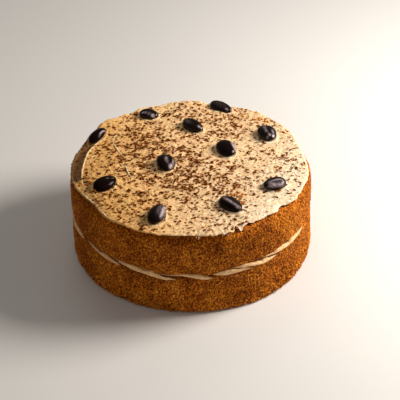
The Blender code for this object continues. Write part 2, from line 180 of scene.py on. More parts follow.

# The look of each bean, in its lengths and widths: finish, place of the crease across, then its patches of
# purple-grey bloom and painted highlights, sheen and reflections: place along and across, reach along and
# across, share
BEAN_GLOSS = {"glossy": 0.36, "satin": 0.17, "dull": 0.06}
BEAN_LOOKS = (
    ("glossy", 0.0, (-0.26, -0.20, 0.06, 0.08, 0.9), (-0.12, -0.20, 0.05, 0.10, 0.7),
     (0.28, -0.30, 0.10, 0.12, 0.9), (0.07, -0.24, 0.10, 0.14, 0.25)),
    ("glossy", 0.0, (0.35, -0.15, 0.06, 0.09, 0.9), (-0.10, 0.0, 0.40, 0.30, 0.06)),
    ("dull", 0.0, (0.08, -0.42, 0.21, 0.040, 1.0)),
    ("glossy", 0.0, (0.37, 0.0, 0.07, 0.09, 1.0), (-0.20, -0.12, 0.22, 0.18, 0.15)),
    ("glossy", 0.08, (-0.12, -0.08, 0.15, 0.11, 0.50), (0.10, -0.10, 0.10, 0.09, 0.50),
     (0.33, -0.03, 0.07, 0.08, 0.9), (0.20, 0.22, 0.15, 0.08, 0.6), (0.38, 0.16, 0.08, 0.08, 0.9),
     (0.42, -0.20, 0.05, 0.06, 0.4)),
    ("satin", 0.0, (0.18, 0.37, 0.27, 0.09, 1.0)),
    ("satin", 0.14, (0.35, 0.27, 0.13, 0.13, 1.0), (0.10, 0.38, 0.18, 0.06, 0.7),
     (0.02, 0.01, 0.16, 0.09, 0.7), (0.16, 0.06, 0.10, 0.08, 0.55)),
    ("dull", 0.0, (0.12, -0.02, 0.06, 0.04, 0.7), (0.30, -0.16, 0.07, 0.03, 0.35)),
    ("satin", 0.20, (0.02, 0.35, 0.35, 0.13, 1.0), (0.00, 0.08, 0.31, 0.07, 0.85),
     (0.17, 0.20, 0.14, 0.16, 1.0), (-0.31, 0.20, 0.06, 0.14, 0.8)),
    ("satin", 0.20, (0.05, -0.02, 0.36, 0.11, 0.85), (0.36, -0.04, 0.09, 0.13, 0.6),
     (0.05, 0.24, 0.24, 0.10, 0.22)),
    ("satin", 0.0, (0.10, -0.39, 0.37, 0.09, 0.95), (0.05, -0.20, 0.28, 0.15, 0.25)),
)

# The largest chocolate shavings, which are fused to the solid
SHAVING_COUNT = 90
SHAVING_SEED = 11
SHAVING_LENGTHS = (2.8 * MM, 4.6 * MM)
SHAVING_CLEARANCE = 2.6 * MM
SHAVING_SPACING = 7.0 * MM
SHAVING_REACH = 91.0 * MM
SHAVING_HEADING = (0.35, 0.7)

# Where the shavings drift together: x, y, spread, share
DRIFTS = ((-45, 35, 34, 1.0), (-12, -8, 40, 1.0), (-40, -52, 26, 0.8), (20, 45, 40, 0.5), (45, 5, 30, 0.3))
STRAY_WEIGHT = 0.12

# Fineness of the meshes
SIDE_COLUMNS = 1080
ROW_STEP = 0.56 * MM
ICING_STEPS = 276
BEAN_ROWS = 60
BEAN_COLUMNS = 64
RIDGE_STATIONS = 110
RIDGE_SIDES = 6
SMEAR_STATIONS = 64
SMEAR_SIDES = 16
FILLING_EDGE_RINGS = 15

# Relief of the sponge: layers, packed grains drawn out upright, and pores. Then its least share at the foot
# and the seam, how much more the foot has, and the relief that is palest
CRUMB_UPRIGHT = 1.35
CRUMB_LAYERS = ((0.26, 17.0, 51), (0.26, 5.0, 52), (0.24, (0.95, 0.95, 0.95 * CRUMB_UPRIGHT), 53))
CRUMB_GRAIN = (0.66, (1.55, 1.55, 1.55 * CRUMB_UPRIGHT), 60)
GRAIN_JITTER = 0.8
GRAIN_FALL = 1.4
PORE_DEPTH = 0.8 * MM
PORE_SPACING = 3.4 * MM
PORE_SHARE = 0.40
PORE_WIDTHS = (0.02, 0.05)
PORE_SEED = 70
FOOT_RELIEF = 0.4
SEAM_RELIEF = 0.35
COARSE_FOOT = 1.3
PALEST_RELIEF = 1.6 * MM

# The curved ridge that the knife left on the left of the top: bearing, radius. Dust and painted shade lie on
# the slope past it
LEFT_RIDGE = ((150, 83.6), (155, 84.8), (162, 86.8), (168, 88.2), (178, 89.2), (188, 91.1), (195, 92.4))
LEFT_RIDGE_HEIGHT = 1.0 * MM
LEFT_RIDGE_WIDTH = 0.7 * MM
LEFT_RIDGE_FADE = 8
LEFT_RISE = 0.8 * MM
LEFT_RISE_REACH = 14.0 * MM
LEFT_STEP = 2.5 * MM
LEFT_STEP_REACH = 8.0 * MM
DUSTY_SHADED_START = 1.5 * MM

# Fine ridges that the knife's corner leaves: x, y of both ends, half their thickness
FINE_RIDGES = (
    (-66.8, 39.9, -55.1, 11.8, 0.62), (-54.9, 4.3, -48.6, -17.9, 0.62), (-79.0, 22.0, -84.6, 2.0, 0.35),
    (-62.0, 62.0, -50.0, 70.5, 0.40), (45.0, -70.0, 58.0, -61.0, 0.30), (-60.0, 52.0, -66.0, 41.0, 0.50),
)
RIDGE_BOW = 1.2
RIDGE_BREADTH = 1.25
CREST_HALF = 0.6
RIM_LINE = (-177, -120)
RIM_LINE_INSET = 0.5 * MM
RIM_LINE_HALF = 0.5

# Strokes of the palette knife over a base layer, drawn from ranges of their turn round the cake, share of the
# top's area, turn of heading, bend per metre, length, width and lean
STROKE_COUNT = 20
STROKE_SEED = 8
STROKE_BASE = ((0.12, 11, 91),)
STROKE_TURN = 0.381966
STROKE_RANGES = ((-0.05, 0.05), (0.05, 0.86), (-0.5, 0.5), (4.0, 11.0), (45, 85), (14, 24), (-1, 1))
STROKE_TILT = 0.16 * MM
STROKE_RIDGE = 0.30 * MM
STROKE_EDGE = 1.2 * MM
STROKE_DRAG = (0.07, (26, 1.7, 1.0), 92)

# Small bits of cream that hang from the edge; their drop is from the lip's foot
FRINGE_COUNT = 12
FRINGE_BEARINGS = (-88.5, -72.5)
FRINGE_DROP = (-1.7, 0.4)
FRINGE_OUT = 1.2 * MM
FRINGE_SHAPE = (0.9, 0.9, 2.0)
FRINGE_SEED = 53

# The filling's soft edge, behind the smears
CREAM_RECESS = 3.0 * MM
CREAM_BULGE = 0.4
CREAM_ROUNDNESS = 0.6
CREAM_RIPPLE = ((0.30, (16, 16, 1.1), 141),)

# Smears of filling that overlap like tiles at the seam: first and last bearing, height of start, middle and
# end above the seam, thickness, depth, and where along it is thickest. Those out of view are drawn from
# ranges of shift and run, and of the same
SMEARS = (
    (-55.5, -24.5, 2.8, 0.2, -0.2, 3.9, 1.9, 0.55),
    (-70.5, -47.5, 2.0, -0.3, -2.5, 4.0, 2.0, 0.48),
    (-81.0, -60.0, 1.6, -1.3, -3.6, 3.9, 1.8, 0.38),
    (-73.5, -65.0, -4.8, -6.6, -8.0, 0.9, 0.8, 0.5),
    (-98.5, -80.5, 2.0, 1.0, -1.8, 3.9, 1.9, 0.60),
    (-128.0, -98.0, 0.9, 0.0, -2.6, 4.6, 1.0, 0.50),
    (-152.0, -126.5, 0.8, -0.2, -1.7, 3.2, 1.5, 0.66),
)
HIDDEN_SMEAR_BEARINGS = range(-6, 203, 19)
HIDDEN_SMEAR_RANGES = ((-3, 3), (16, 28), (0.5, 2.2), (-0.4, 0.4), (-2.2, -0.4), (2.2, 3.8), (1.3, 1.9),
                       (0.4, 0.6))
SMEAR_SEED = 21
SMEAR_ENDS = (0.004, 0.996)
SMEAR_FULLNESS = 0.8
SMEAR_RIPPLE = 0.35
SMEAR_INSET = 0.5 * MM
SMEAR_DRAG = ((0.22, (14, 14, 1.0), 142),)

# Small shavings: how many, how they clump, and how far they stay from beans, in half sizes of the bean
CURL_COUNT = 950
CHIP_COUNT = 6400
CLUMP_SIZE = (6.6 * MM, 4.0 * MM, 1.0)
CLUMPING = 0.65
CLUMP_CONTRAST = 2.2
CLUMP_LEAST = 0.15
CLUMP_SEED = 161
OVERDRAW = 1.3
FLECK_SEED = 31
CURL_CLEARANCE = 1.03
CHIP_CLEARANCE = 1.16
FLECK_INSET = 1.2 * MM

# Kinds of shaving: ranges of width as a share of length, of thickness, and of curl in radians, and stations
FLECK_KINDS = (
    ("shavings_large", (0.30, 0.42), (0.45, 0.75), (0.5, 2.6), 7),
    ("shavings_curls", (0.40, 0.66), (0.22, 0.40), (0.2, 1.4), 5),
    ("shavings_chips", (0.48, 0.88), (0.12, 0.26), (0.0, 0.6), 3),
)

# How a shaving lies: step over which the icing's slope is read, most that it follows it, and share let in
SLOPE_STEP = 0.8 * MM
SLOPE_MOST = 0.4 * MM
LET_IN = (0.50, 0.12)

# Where the small shavings lie: a share everywhere, and drifts and barer patches (x, y, spread, share)
SMALL_SHARE = 0.50
SMALL_DRIFTS = ((-12, -5, 42, 0.46), (-42, 32, 28, 0.36), (15, 60, 34, 0.24), (20, -48, 30, 0.15),
                (-75, 12, 16, -0.14), (36, 14, 18, -0.18), (84, 6, 16, 0.08), (66, -58, 16, -0.35),
                (0, -90, 22, -0.10), (-45, -48, 20, 0.14), (-83, -22, 7, 0.45), (-72, -46, 14, 0.26),
                (48, 76, 20, -0.06), (-56, -76, 11, 0.12), (-76, 46, 13, 0.28), (56, -10, 22, 0.02),
                (44, 46, 14, 0.10), (-45, 76, 14, 0.26), (46, -45, 14, 0.10), (84, -16, 12, 0.16))

# Brown dust round the shavings: its map, the cover at which it starts and is full, its drifts (x, y, spread,
# share), of which the last is painted shade, how it lies on the slope, where it is partly painted shade, and
# how clean the beans' rims are
DUST_STEP = 0.5 * MM
DUST_SOFTNESS = 0.8 * MM
DUST_REACH = 6
DUST_RANGE = (0.05, 0.70)
DUST_MOST = 0.85
DUST_DRIFTS = ((42, 64, 30, 0.32), (-12, -5, 46, 0.10), (44, -14, 46, 0.15), (-45, -60, 30, 0.12),
               (-70, 20, 24, 0.24), (0, -88, 26, 0.12), (-15, 48, 26, 0.10))
SLOPE_DUST_AND_SHADE = (0.45, 0.35)
CLEAN_RIMS = 0.8

# The cream grows paler from left to right, partly its own tone and partly painted shade on the left and
# painted light,
# washed out, on the right: place across the cake, from 0 to 1, and what its colour is multiplied by. Then
# what shifts that place, with where the lean and the painted shade on the left begin and end: painted shade
# on the slope past the ridge and at the front left, and painted highlights on the knife ridges and the beans'
# rims
CREAM_TONE_AND_LIGHT = ((0.0, (0.38, 0.31, 0.20)), (0.10, (0.85, 0.71, 0.41)), (0.275, (1.04, 0.91, 0.68)),
               (0.425, (1.08, 1.04, 0.95)), (0.575, (1.06, 1.07, 1.06)), (0.725, (1.01, 1.08, 1.17)),
               (0.785, (0.97, 1.02, 1.09)), (0.86, (1.00, 1.13, 1.33)), (0.96, (1.03, 1.21, 1.54)))
LEAST_TONE_AND_LIGHT = 0.08
LIGHT_LEAN = 0.4
LIGHT_LEAN_REACH = (-30 * MM, 60 * MM)
TINT_MOTTLE = 0.03
SLOPE_SHADE = 0.11
LEFT_SHADE = 0.09
LEFT_SHADE_NEAR = (-20 * MM, -60 * MM)
LEFT_SHADE_SIDE = (0.0, -40 * MM)
RIDGE_PAINTED_HIGHLIGHT = 0.50
BEAN_RIM_PAINTED_HIGHLIGHT = 0.20

# Colours, and stops of colour ramps: place, and colour or grey
# The sponge's colour by its relief: lighter on proud grains, darker in low relief and pores, partly painted
# shade
SPONGE_TONE_AND_PORE_SHADE = ((0.0, (0.070, 0.013, 0.0008)), (0.38, (0.26, 0.062, 0.0030)), (0.62, (0.40, 0.108, 0.0060)),
               (1.0, (0.66, 0.24, 0.024)))
SPONGE_SPECKS = ((0.37, (0.26, 0.19, 0.14)), (0.50, (0.94, 0.92, 0.90)), (0.61, (1.72, 1.95, 2.2)))
SPONGE_PATCHES = ((0.30, (0.92, 0.90, 0.88)), (0.70, (1.06, 1.07, 1.08)))
FILLING_CREAM = ((0.39, (0.75, 0.42, 0.175)), (0.60, (0.92, 0.60, 0.31)))
ICING_CREAM = ((0.39, (0.74, 0.455, 0.215)), (0.60, (0.95, 0.675, 0.400)))
POWDER = ((0.36, 0.15), (0.64, 1.0))
POWDER_BROWN = (0.45, 0.145, 0.018)
PEPPER = ((0.32, (0.62, 0.56, 0.46)), (0.44, (1.0, 1.0, 1.0)))
BEAN_BODY = (0.0070, 0.0026, 0.0016)
# Purple-grey of the beans' bloom and painted sheen
BEAN_BLOOM_AND_SHEEN = (0.49, 0.385, 0.40)
BLOOM_AND_SHEEN_MOTTLE = ((0.38, 0.40), (0.56, 1.0))
SHAVING_BROWNS = ((0.34, (0.040, 0.007, 0.0003)), (0.50, (0.115, 0.026, 0.001)), (0.68, (0.30, 0.090, 0.008)))
CRUMB_BROWNS = ((0.3, (0.36, 0.120, 0.014)), (0.52, (0.62, 0.24, 0.034)), (0.72, (0.78, 0.38, 0.09)))
FLOOR_GREYS = ((0.3, (0.72, 0.70, 0.68)), (0.7, (0.76, 0.74, 0.72)))

# Studio lights: bearing and height in degrees, distance, width and height in metres, power in watts, colour
LIGHTS = (
    ("key", 10, 35, 0.76, 0.37, 0.32, 9.4, (1.0, 0.95, 0.88)),
    ("fill", -120, 35, 1.5, 1.2, 1.2, 2.4, (1.0, 0.95, 0.88)),
    ("back", 100, 45, 1.4, 1.0, 1.0, 2.4, (1.0, 0.95, 0.88)),
)
LIGHT_TARGET = (0.0, 0.0, 0.05)
WORLD_COLOUR = (1.0, 0.94, 0.87, 1.0)
WORLD_STRENGTH = 0.13
FLOOR_HALF = 4

# Loose crumbs on the side, in three ranges of height, clear of the seam: how far out their middles are, their
# sizes, and how much larger they grow below a height near the foot
CRUMB_COUNT = 900
CRUMB_SEED = 47
CRUMB_HEIGHTS = ((1.5, 10), (2, 70), (30, 42))
CRUMB_CLEARANCE = 3.0 * MM
CRUMB_OUT = 0.5 * MM
CRUMB_SIZES = (0.6, 1.5)
FOOT_CRUMB_GROWTH = 0.9
FOOT_CRUMB_TOP = 8 * MM
# The orange-brown ones on the icing: x, y, spread, how many. Then how far in from the rim they stay, how high
# their middles are, and their sizes
ICING_CRUMBS = ((38.8, -55.6, 2.6, 30), (36.1, -46.1, 3.2, 26), (63.0, 65.9, 4.5, 34), (53.2, 77.4, 3.5, 20),
                (-80.0, -40.0, 5.0, 6), (10.0, -88.0, 5.0, 6))
ICING_CRUMB_INSET = 6 * MM
ICING_CRUMB_RISE = 0.2 * MM
ICING_CRUMB_SIZES = (1.4, 3.0)

# Numbers that scramble a lattice corner into a random number
CORNER_FACTORS = (73856093, 19349663, 83492791)
SEED_FACTOR = 2654435761
SCRAMBLES = ((15, 2246822519), (13, 3266489917))


def smoothstep(low, high, value):
    """Rises smoothly from 0 at low to 1 at high."""
    t = np.clip((value - low) / (high - low), 0.0, 1.0)
    return t * t * (3.0 - 2.0 * t)


def hump(value, place, width):
    """A smooth hump of height 1 where a value is at a place."""
    return np.exp(-(((value - place) / width) ** 2))


def bump(angle, bearing, spread):
    """A smooth hump of height 1 round a bearing."""
    return hump((np.degrees(angle) - bearing + 180.0) % 360.0 - 180.0, 0.0, spread)


def bumps(angle, table):
    """The sum of a table of humps."""
    return sum(height * MM * bump(angle, bearing, spread) for bearing, spread, height in table)


def gathered(x, y, table, share):
    """A share, and more or less of it round the places of a table, from 0 to 1."""
    for centre_x, centre_y, spread, extra in table:
        share = share + extra * hump(np.hypot(x - centre_x * MM, y - centre_y * MM), 0.0, spread * MM)
    return np.clip(share, 0.0, 1.0)


def lattice(corner, seed):
    """A repeatable random number from 0 to 1 for each corner of a cubic lattice."""
    cell = corner.astype(np.int64).astype(np.uint32)
    mixed = np.uint32(0)
    for axis, factor in enumerate(CORNER_FACTORS):
        mixed = mixed ^ (cell[:, axis] * np.uint32(factor))
    mixed = mixed + np.uint32((seed * SEED_FACTOR) % 2 ** 32)
    for shift, factor in SCRAMBLES:
        mixed = (mixed ^ (mixed >> np.uint32(shift))) * np.uint32(factor)
    return (mixed ^ (mixed >> np.uint32(16))) / float(2 ** 32)


def noise(points, size, seed):
    """Smooth noise from -1 to 1, with lumps about one size across. Size may differ along x, y and z."""
    cell = points / size
    low = np.floor(cell)
    t = cell - low
    t = t * t * (3.0 - 2.0 * t)
    total = np.zeros(len(points))
    for corner in itertools.product((0, 1), repeat=3):
        share = np.prod(np.where(corner, t, 1.0 - t), axis=1)
        total += share * lattice(low + corner, seed)
    return 2.0 * total - 1.0


def relief_of(points, layers):
    """The sum of layers of relief."""
    return sum(depth * MM * noise(points, np.array(size) * MM, seed) for depth, size, seed in layers)


def grains(points, size, seed):
    """Packed round grains: squared distance to the nearest grain's middle, and that grain's own number."""
    cell = points / size
    low = np.floor(cell)
    nearest = np.full(len(points), np.inf)
    number = np.zeros(len(points))
    for step in itertools.product((-1, 0, 1), repeat=3):
        corner = low + step
        middle = corner + 0.5
        for axis in range(3):
            middle[:, axis] += GRAIN_JITTER * (lattice(corner, seed + axis + 1) - 0.5)
        away = ((cell - middle) ** 2).sum(1)
        closer = away < nearest
        nearest = np.where(closer, away, nearest)
        number = np.where(closer, lattice(corner, seed), number)
    return nearest, number


def drawn(draw, ranges):
    """One random number from each of several ranges."""
    return [draw.uniform(*span) for span in ranges]


def plan_points(x, y, z=0.0):
    """An array of points from arrays of coordinates."""
    return np.stack(np.broadcast_arrays(x, y, z), axis=-1).reshape(-1, 3)


def on_circle(angle, radius, height):
    """Points from their bearings, radii and heights."""
    return plan_points(radius * np.cos(angle), radius * np.sin(angle), height)


def even_turns(count):
    """Even turns round a circle, from 0."""
    return 2 * math.pi * np.arange(count) / count


def turned(x, y, heading):
    """Offsets along and across a heading."""
    return x * math.cos(heading) + y * math.sin(heading), y * math.cos(heading) - x * math.sin(heading)


def all_tongues():
    """The filling's tongues: those that show, and more of the same habit round the back."""
    draw = random.Random(TONGUE_SEED)
    tongues = list(SHOWN_TONGUES)
    for bearing in HIDDEN_TONGUE_BEARINGS:
        shift, spread, height = drawn(draw, HIDDEN_TONGUE_RANGES)
        tongues.append((bearing + shift, spread, height))
    return tongues


TONGUES = all_tongues()


def side_radius(angle):
    """Radius of the cake's side, with its gentle waves."""
    return CAKE_RADIUS + sum(depth * MM * np.cos(n * angle + phase) for n, depth, phase in SIDE_WAVES)


def seam_height(angle, radius):
    """Height of the filling's middle."""
    return SEAM_HEIGHT + bumps(angle, SEAM_LIFTS) * (radius / CAKE_RADIUS) ** 2


def filling_half(angle, radius):
    """Half the filling's thickness."""
    rim_share = smoothstep(FLAT_RADII[-2], CAKE_RADIUS, radius)
    return (FILLING_THICKNESS + bumps(angle, TONGUES) * rim_share) / 2


def seam_face(angle, radius, side, gap=GAP):
    """Height of the face under the filling, where side is -1, or over it, where side is 1."""
    return seam_height(angle, radius) + side * (filling_half(angle, radius) + gap)


def crown_height(angle, radius):
    """Height of the upper sponge's top, inside its rounded shoulder."""
    slope = SLOPE_DEPTH * bump(angle, SLOPE_BEARING, SLOPE_SPREAD)
    slope = slope * smoothstep(SLOPE_START, CAKE_RADIUS, radius)
    return SPONGE_TOP + CROWN * (1 - (radius / CAKE_RADIUS) ** 2) - slope


def shoulder_drop(angle, radius):
    """How far the rounded shoulder lies below the top at a radius."""
    t = np.clip((radius - side_radius(angle)) / SHOULDER + 1.0, 0.0, 1.0)
    return SHOULDER * (1 - np.sqrt(1 - t * t))


def icing_radius(angle):
    """Outline of the icing seen from above, before its raggedness."""
    return ICING_RADIUS + bumps(angle, ICING_DENTS)


def swell(angle, radius):
    """Broad low waves in the icing."""
    total = 0.0
    for height, direction, length, phase in SWELLS:
        along = radius * np.cos(angle - math.radians(direction))
        total = total + height * MM * np.sin(2 * math.pi * along / (length * MM) + phase)
    return total


def icing_height(angle, radius):
    """Height of the icing's top surface, before the finer knife work."""
    height = crown_height(angle, radius) + ICING_THICKNESS + swell(angle, radius)
    height += bumps(angle, RIM_LUMPS) * smoothstep(LUMP_START, CAKE_RADIUS, radius)
    edge = icing_radius(angle)
    near = np.clip(1.0 - (edge - radius) / EDGE_REACH, 0.0, 1.0)
    thinned = DENT_THINNING * smoothstep(*THINNED_SIDE, np.cos(angle)) * np.maximum(ICING_RADIUS - edge, 0.0)
    return height - (EDGE_FALL + thinned) * near ** EDGE_SHARPNESS


def set_attribute(obj, name, values):
    """Stores one number for each point of a mesh, for its material to read."""
    attribute = obj.data.attributes.new(name, "FLOAT", "POINT")
    attribute.data.foreach_set("value", np.asarray(values, np.float32).ravel())


def mesh_object(name, points, faces, material, smooth=True):
    """A mesh object in the scene from its points and faces."""
    mesh = bpy.data.meshes.new(name)
    mesh.from_pydata(points.tolist(), [], faces)
    mesh.polygons.foreach_set("use_smooth", [smooth] * len(mesh.polygons))
    mesh.materials.append(material)
    mesh.update()
    obj = bpy.data.objects.new(name, mesh)
    bpy.context.scene.collection.objects.link(obj)
    return obj


def belongs(obj, slot, *nodes):
    """Hangs a piece on the cake and lets it stand for solids, which it hides; its slot is not used."""
    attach(obj, "root")
    if nodes:
        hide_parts(*nodes)


def quads(*corners):
    """Four-sided faces from four arrays of corner numbers."""
    return np.stack(corners, axis=-1).reshape(-1, 4).tolist()


def around(rows, columns):
    """Faces between rings that are stacked outwards along an underside and then upwards."""
    here = np.arange(rows * columns).reshape(rows, columns)
    after = np.roll(here, -1, axis=1)
    return quads(here[:-1], after[:-1], after[1:], here[1:])


def closed_faces(rows, columns):
    """Faces of stacked rings, and of fans that close them at a first and a last middle point."""
    middle = rows * columns
    last = middle - columns
    faces = around(rows, columns)
    for i in range(columns):
        j = (i + 1) % columns
        faces += [(middle, j, i), (last + i, last + j, middle + 1)]
    return faces


def stacked(rings):
    """Points and faces of a closed form, from rings that run round it from its underside to its top."""
    ends = [(0.0, 0.0, ring[:, 2].mean()) for ring in (rings[0], rings[-1])]
    return np.vstack((rings.reshape(-1, 3), ends)), closed_faces(*rings.shape[:2])


def tube(sides, line):
    """Points and faces of a tube, from the line of points along it at the cosine and sine of each turn."""
    lines = np.stack([line(math.cos(turn), math.sin(turn)) for turn in even_turns(sides)], axis=1)
    last = (len(lines) - 1) * sides
    ends = [range(sides - 1, -1, -1), range(last, last + sides)]
    return lines.reshape(-1, 3), around(len(lines), sides) + ends


def joined(parts):
    """The points of many parts as one array, and their faces as one list."""
    points, faces, count = [], [], 0
    for part, part_faces in parts:
        points.append(part)
        faces += [tuple(count + corner for corner in face) for face in part_faces]
        count += len(part)
    return np.concatenate(points), faces


class Shader:
    """A material's node tree, with short calls for the nodes that the cake's materials share."""

    def __init__(self, name):
        self.material = bpy.data.materials.new(name)
        self.material.use_nodes = True
        self.tree = self.material.node_tree
        self.place = self.node("TexCoord", "Object")

    def feed(self, socket, value):
        """Gives a socket another's value, a number, or a plain colour."""
        if isinstance(value, bpy.types.NodeSocket):
            self.tree.links.new(value, socket)
        elif socket.type == "RGBA":
            socket.default_value = (*value, 1.0)
        else:
            socket.default_value = value

    def node(self, kind, output, inputs=None, **settings):
        """Adds a node with its settings and inputs, and gives one of its outputs."""
        node = self.tree.nodes.new("ShaderNode" + kind)
        for name, value in settings.items():
            setattr(node, name, value)
        for key, value in (inputs or {}).items():
            self.feed(node.inputs[key], value)
        return node.outputs[output]

    def finished(self, **values):
        """Feeds the shader's own sockets; an underscore in a name stands for a space."""
        for name, value in values.items():
            self.feed(self.tree.nodes["Principled BSDF"].inputs[name.replace("_", " ")], value)
        return self.material

    def attribute(self, name):
        return self.node("Attribute", "Fac", attribute_name=name)

    def noise(self, size, detail=2.0, roughness=0.5, stretch=(1.0, 1.0, 1.0)):
        """Noise whose lumps are about one size across, in mm."""
        place = self.node("Mapping", "Vector", {"Vector": self.place, "Scale": stretch})
        inputs = {"Vector": place, "Scale": 1.0 / (size * MM), "Detail": detail, "Roughness": roughness}
        return self.node("TexNoise", "Fac", inputs)

    def ramp(self, source, stops):
        """A ramp over a value; a stop is a place, and a colour or a grey."""
        colours = self.node("ValToRGB", "Color", {"Fac": source})
        elements = colours.node.color_ramp.elements
        while len(elements) < len(stops):
            elements.new(1.0)
        for element, (place, colour) in zip(elements, stops):
            element.position = place
            element.color = (*np.broadcast_to(colour, 3), 1.0)
        return colours

    def mix(self, share, first, second, blend="MIX"):
        """Mixes two colours, by a share or, to multiply them, in full."""
        return self.node("Mix", 2, {0: share, 6: first, 7: second}, data_type="RGBA", blend_type=blend)

    def times(self, first, second):
        return self.mix(1.0, first, second, "MULTIPLY")

    def maths(self, operation, first, second):
        return self.node("Math", "Value", {0: first, 1: second}, operation=operation)

    def spread(self, source, low, high):
        """Maps a value from 0..1 to low..high."""
        return self.node("MapRange", "Result", {"Value": source, "To Min": low, "To Max": high})

    def bump(self, height, depth, strength):
        """Fine relief of a depth in mm."""
        return self.node("Bump", "Normal", {"Height": height, "Distance": depth * MM, "Strength": strength})


def sponge_material():
    """Browned coffee sponge: lighter on the proud grains, darker in the pores, partly as painted shade, in
    fine upright streaks.
    """
    shader = Shader("sponge")
    body = shader.ramp(shader.attribute("relief"), SPONGE_TONE_AND_PORE_SHADE)
    body = shader.times(body, shader.ramp(shader.noise(1.15, 2.0, 0.6, (1.0, 1.0, 0.80)), SPONGE_SPECKS))
    body = shader.times(body, shader.ramp(shader.noise(26, 1.0), SPONGE_PATCHES))
    pores = shader.noise(0.7, 4.0, 0.7)
    return shader.finished(Base_Color=body, Roughness=shader.spread(pores, 0.78, 0.98),
                           Normal=shader.bump(pores, 0.30, 0.9), Subsurface_Weight=0.05,
                           Subsurface_Scale=1.0 * MM, Specular_IOR_Level=0.10)


def cream_material(name, cream, dusted_and_shaded):
    """Coffee buttercream: soft, faintly mottled and pitted; on the top, browned by chocolate dust and given
    painted shade to the left and painted light to the right.
    """
    shader = Shader(name)
    colour = shader.ramp(shader.noise(3.4, 5.0, 0.7), cream)
    if dusted_and_shaded:
        # The top's tone, with painted shade on the left and painted light on the right
        colour = shader.times(colour, shader.ramp(shader.attribute("tone_and_light"), CREAM_TONE_AND_LIGHT))
        powder = shader.ramp(shader.noise(1.3, 4.0, 0.75), POWDER)
        amount = shader.maths("MULTIPLY", shader.attribute("dust"), powder)
        colour = shader.mix(amount, colour, POWDER_BROWN)
        colour = shader.times(colour, shader.ramp(shader.noise(1.0, 2.0, 0.6), PEPPER))
    pits = shader.noise(1.3, 3.0, 0.6)
    return shader.finished(Base_Color=colour, Roughness=shader.spread(pits, 0.45, 0.66),
                           Normal=shader.bump(pits, 0.38, 1.0), Subsurface_Weight=0.28,
                           Subsurface_Scale=2.2 * MM, Subsurface_Radius=(1.0, 0.50, 0.20),
                           Specular_IOR_Level=0.30)


def bean_material(finish, gloss):
    """Dark coating chocolate in one finish, with patches of purple-grey bloom and painted highlights and
    sheen, and fingered unevenness.
    """
    shader = Shader(f"bean_chocolate_{finish}")
    patches = shader.ramp(shader.noise(2.2, 3.0, 0.65), BLOOM_AND_SHEEN_MOTTLE)
    bloom_and_sheen = shader.maths("MULTIPLY", shader.attribute("bloom_and_sheen"), patches)
    film = shader.noise(2.2, 3.0, 0.6)
    dull = shader.maths("MULTIPLY", bloom_and_sheen, 0.25)
    return shader.finished(Base_Color=shader.mix(bloom_and_sheen, BEAN_BODY, BEAN_BLOOM_AND_SHEEN),
                           Roughness=shader.maths("ADD", shader.spread(film, 0.12, 0.24), dull),
                           Normal=shader.bump(film, 0.22, 0.7), Specular_IOR_Level=gloss,
                           Specular_Tint=(0.95, 0.84, 0.90))


def shaving_material():
    """Shaved chocolate: matt, from near black to milk brown."""
    shader = Shader("shaved_chocolate")
    rough = shader.noise(0.5)
    return shader.finished(Base_Color=shader.ramp(shader.noise(2.2, 1.0), SHAVING_BROWNS),
                           Roughness=shader.spread(rough, 0.55, 0.80), Normal=shader.bump(rough, 0.05, 0.6),
                           Specular_IOR_Level=0.03)


def plain_material(name, size, stops, roughness, gloss):
    """A matt material, faintly uneven in colour: loose crumbs, or the floor."""
    shader = Shader(name)
    return shader.finished(Base_Color=shader.ramp(shader.noise(size), stops), Roughness=roughness,
                           Specular_IOR_Level=gloss)


def sponge_relief(points):
    """Height of the crumb above the smooth side, as an array; its pores are below."""
    depth, size, seed = CRUMB_GRAIN
    near, _ = grains(points, np.array(size) * MM, seed)
    far, number = grains(points, PORE_SPACING, PORE_SEED)
    wide = PORE_WIDTHS[0] + PORE_WIDTHS[1] * number / PORE_SHARE
    pores = np.where(number < PORE_SHARE, 1.0 - smoothstep(0.3 * wide, wide, far), 0.0)
    return relief_of(points, CRUMB_LAYERS) + depth * MM * (0.5 - GRAIN_FALL * near) - PORE_DEPTH * pores


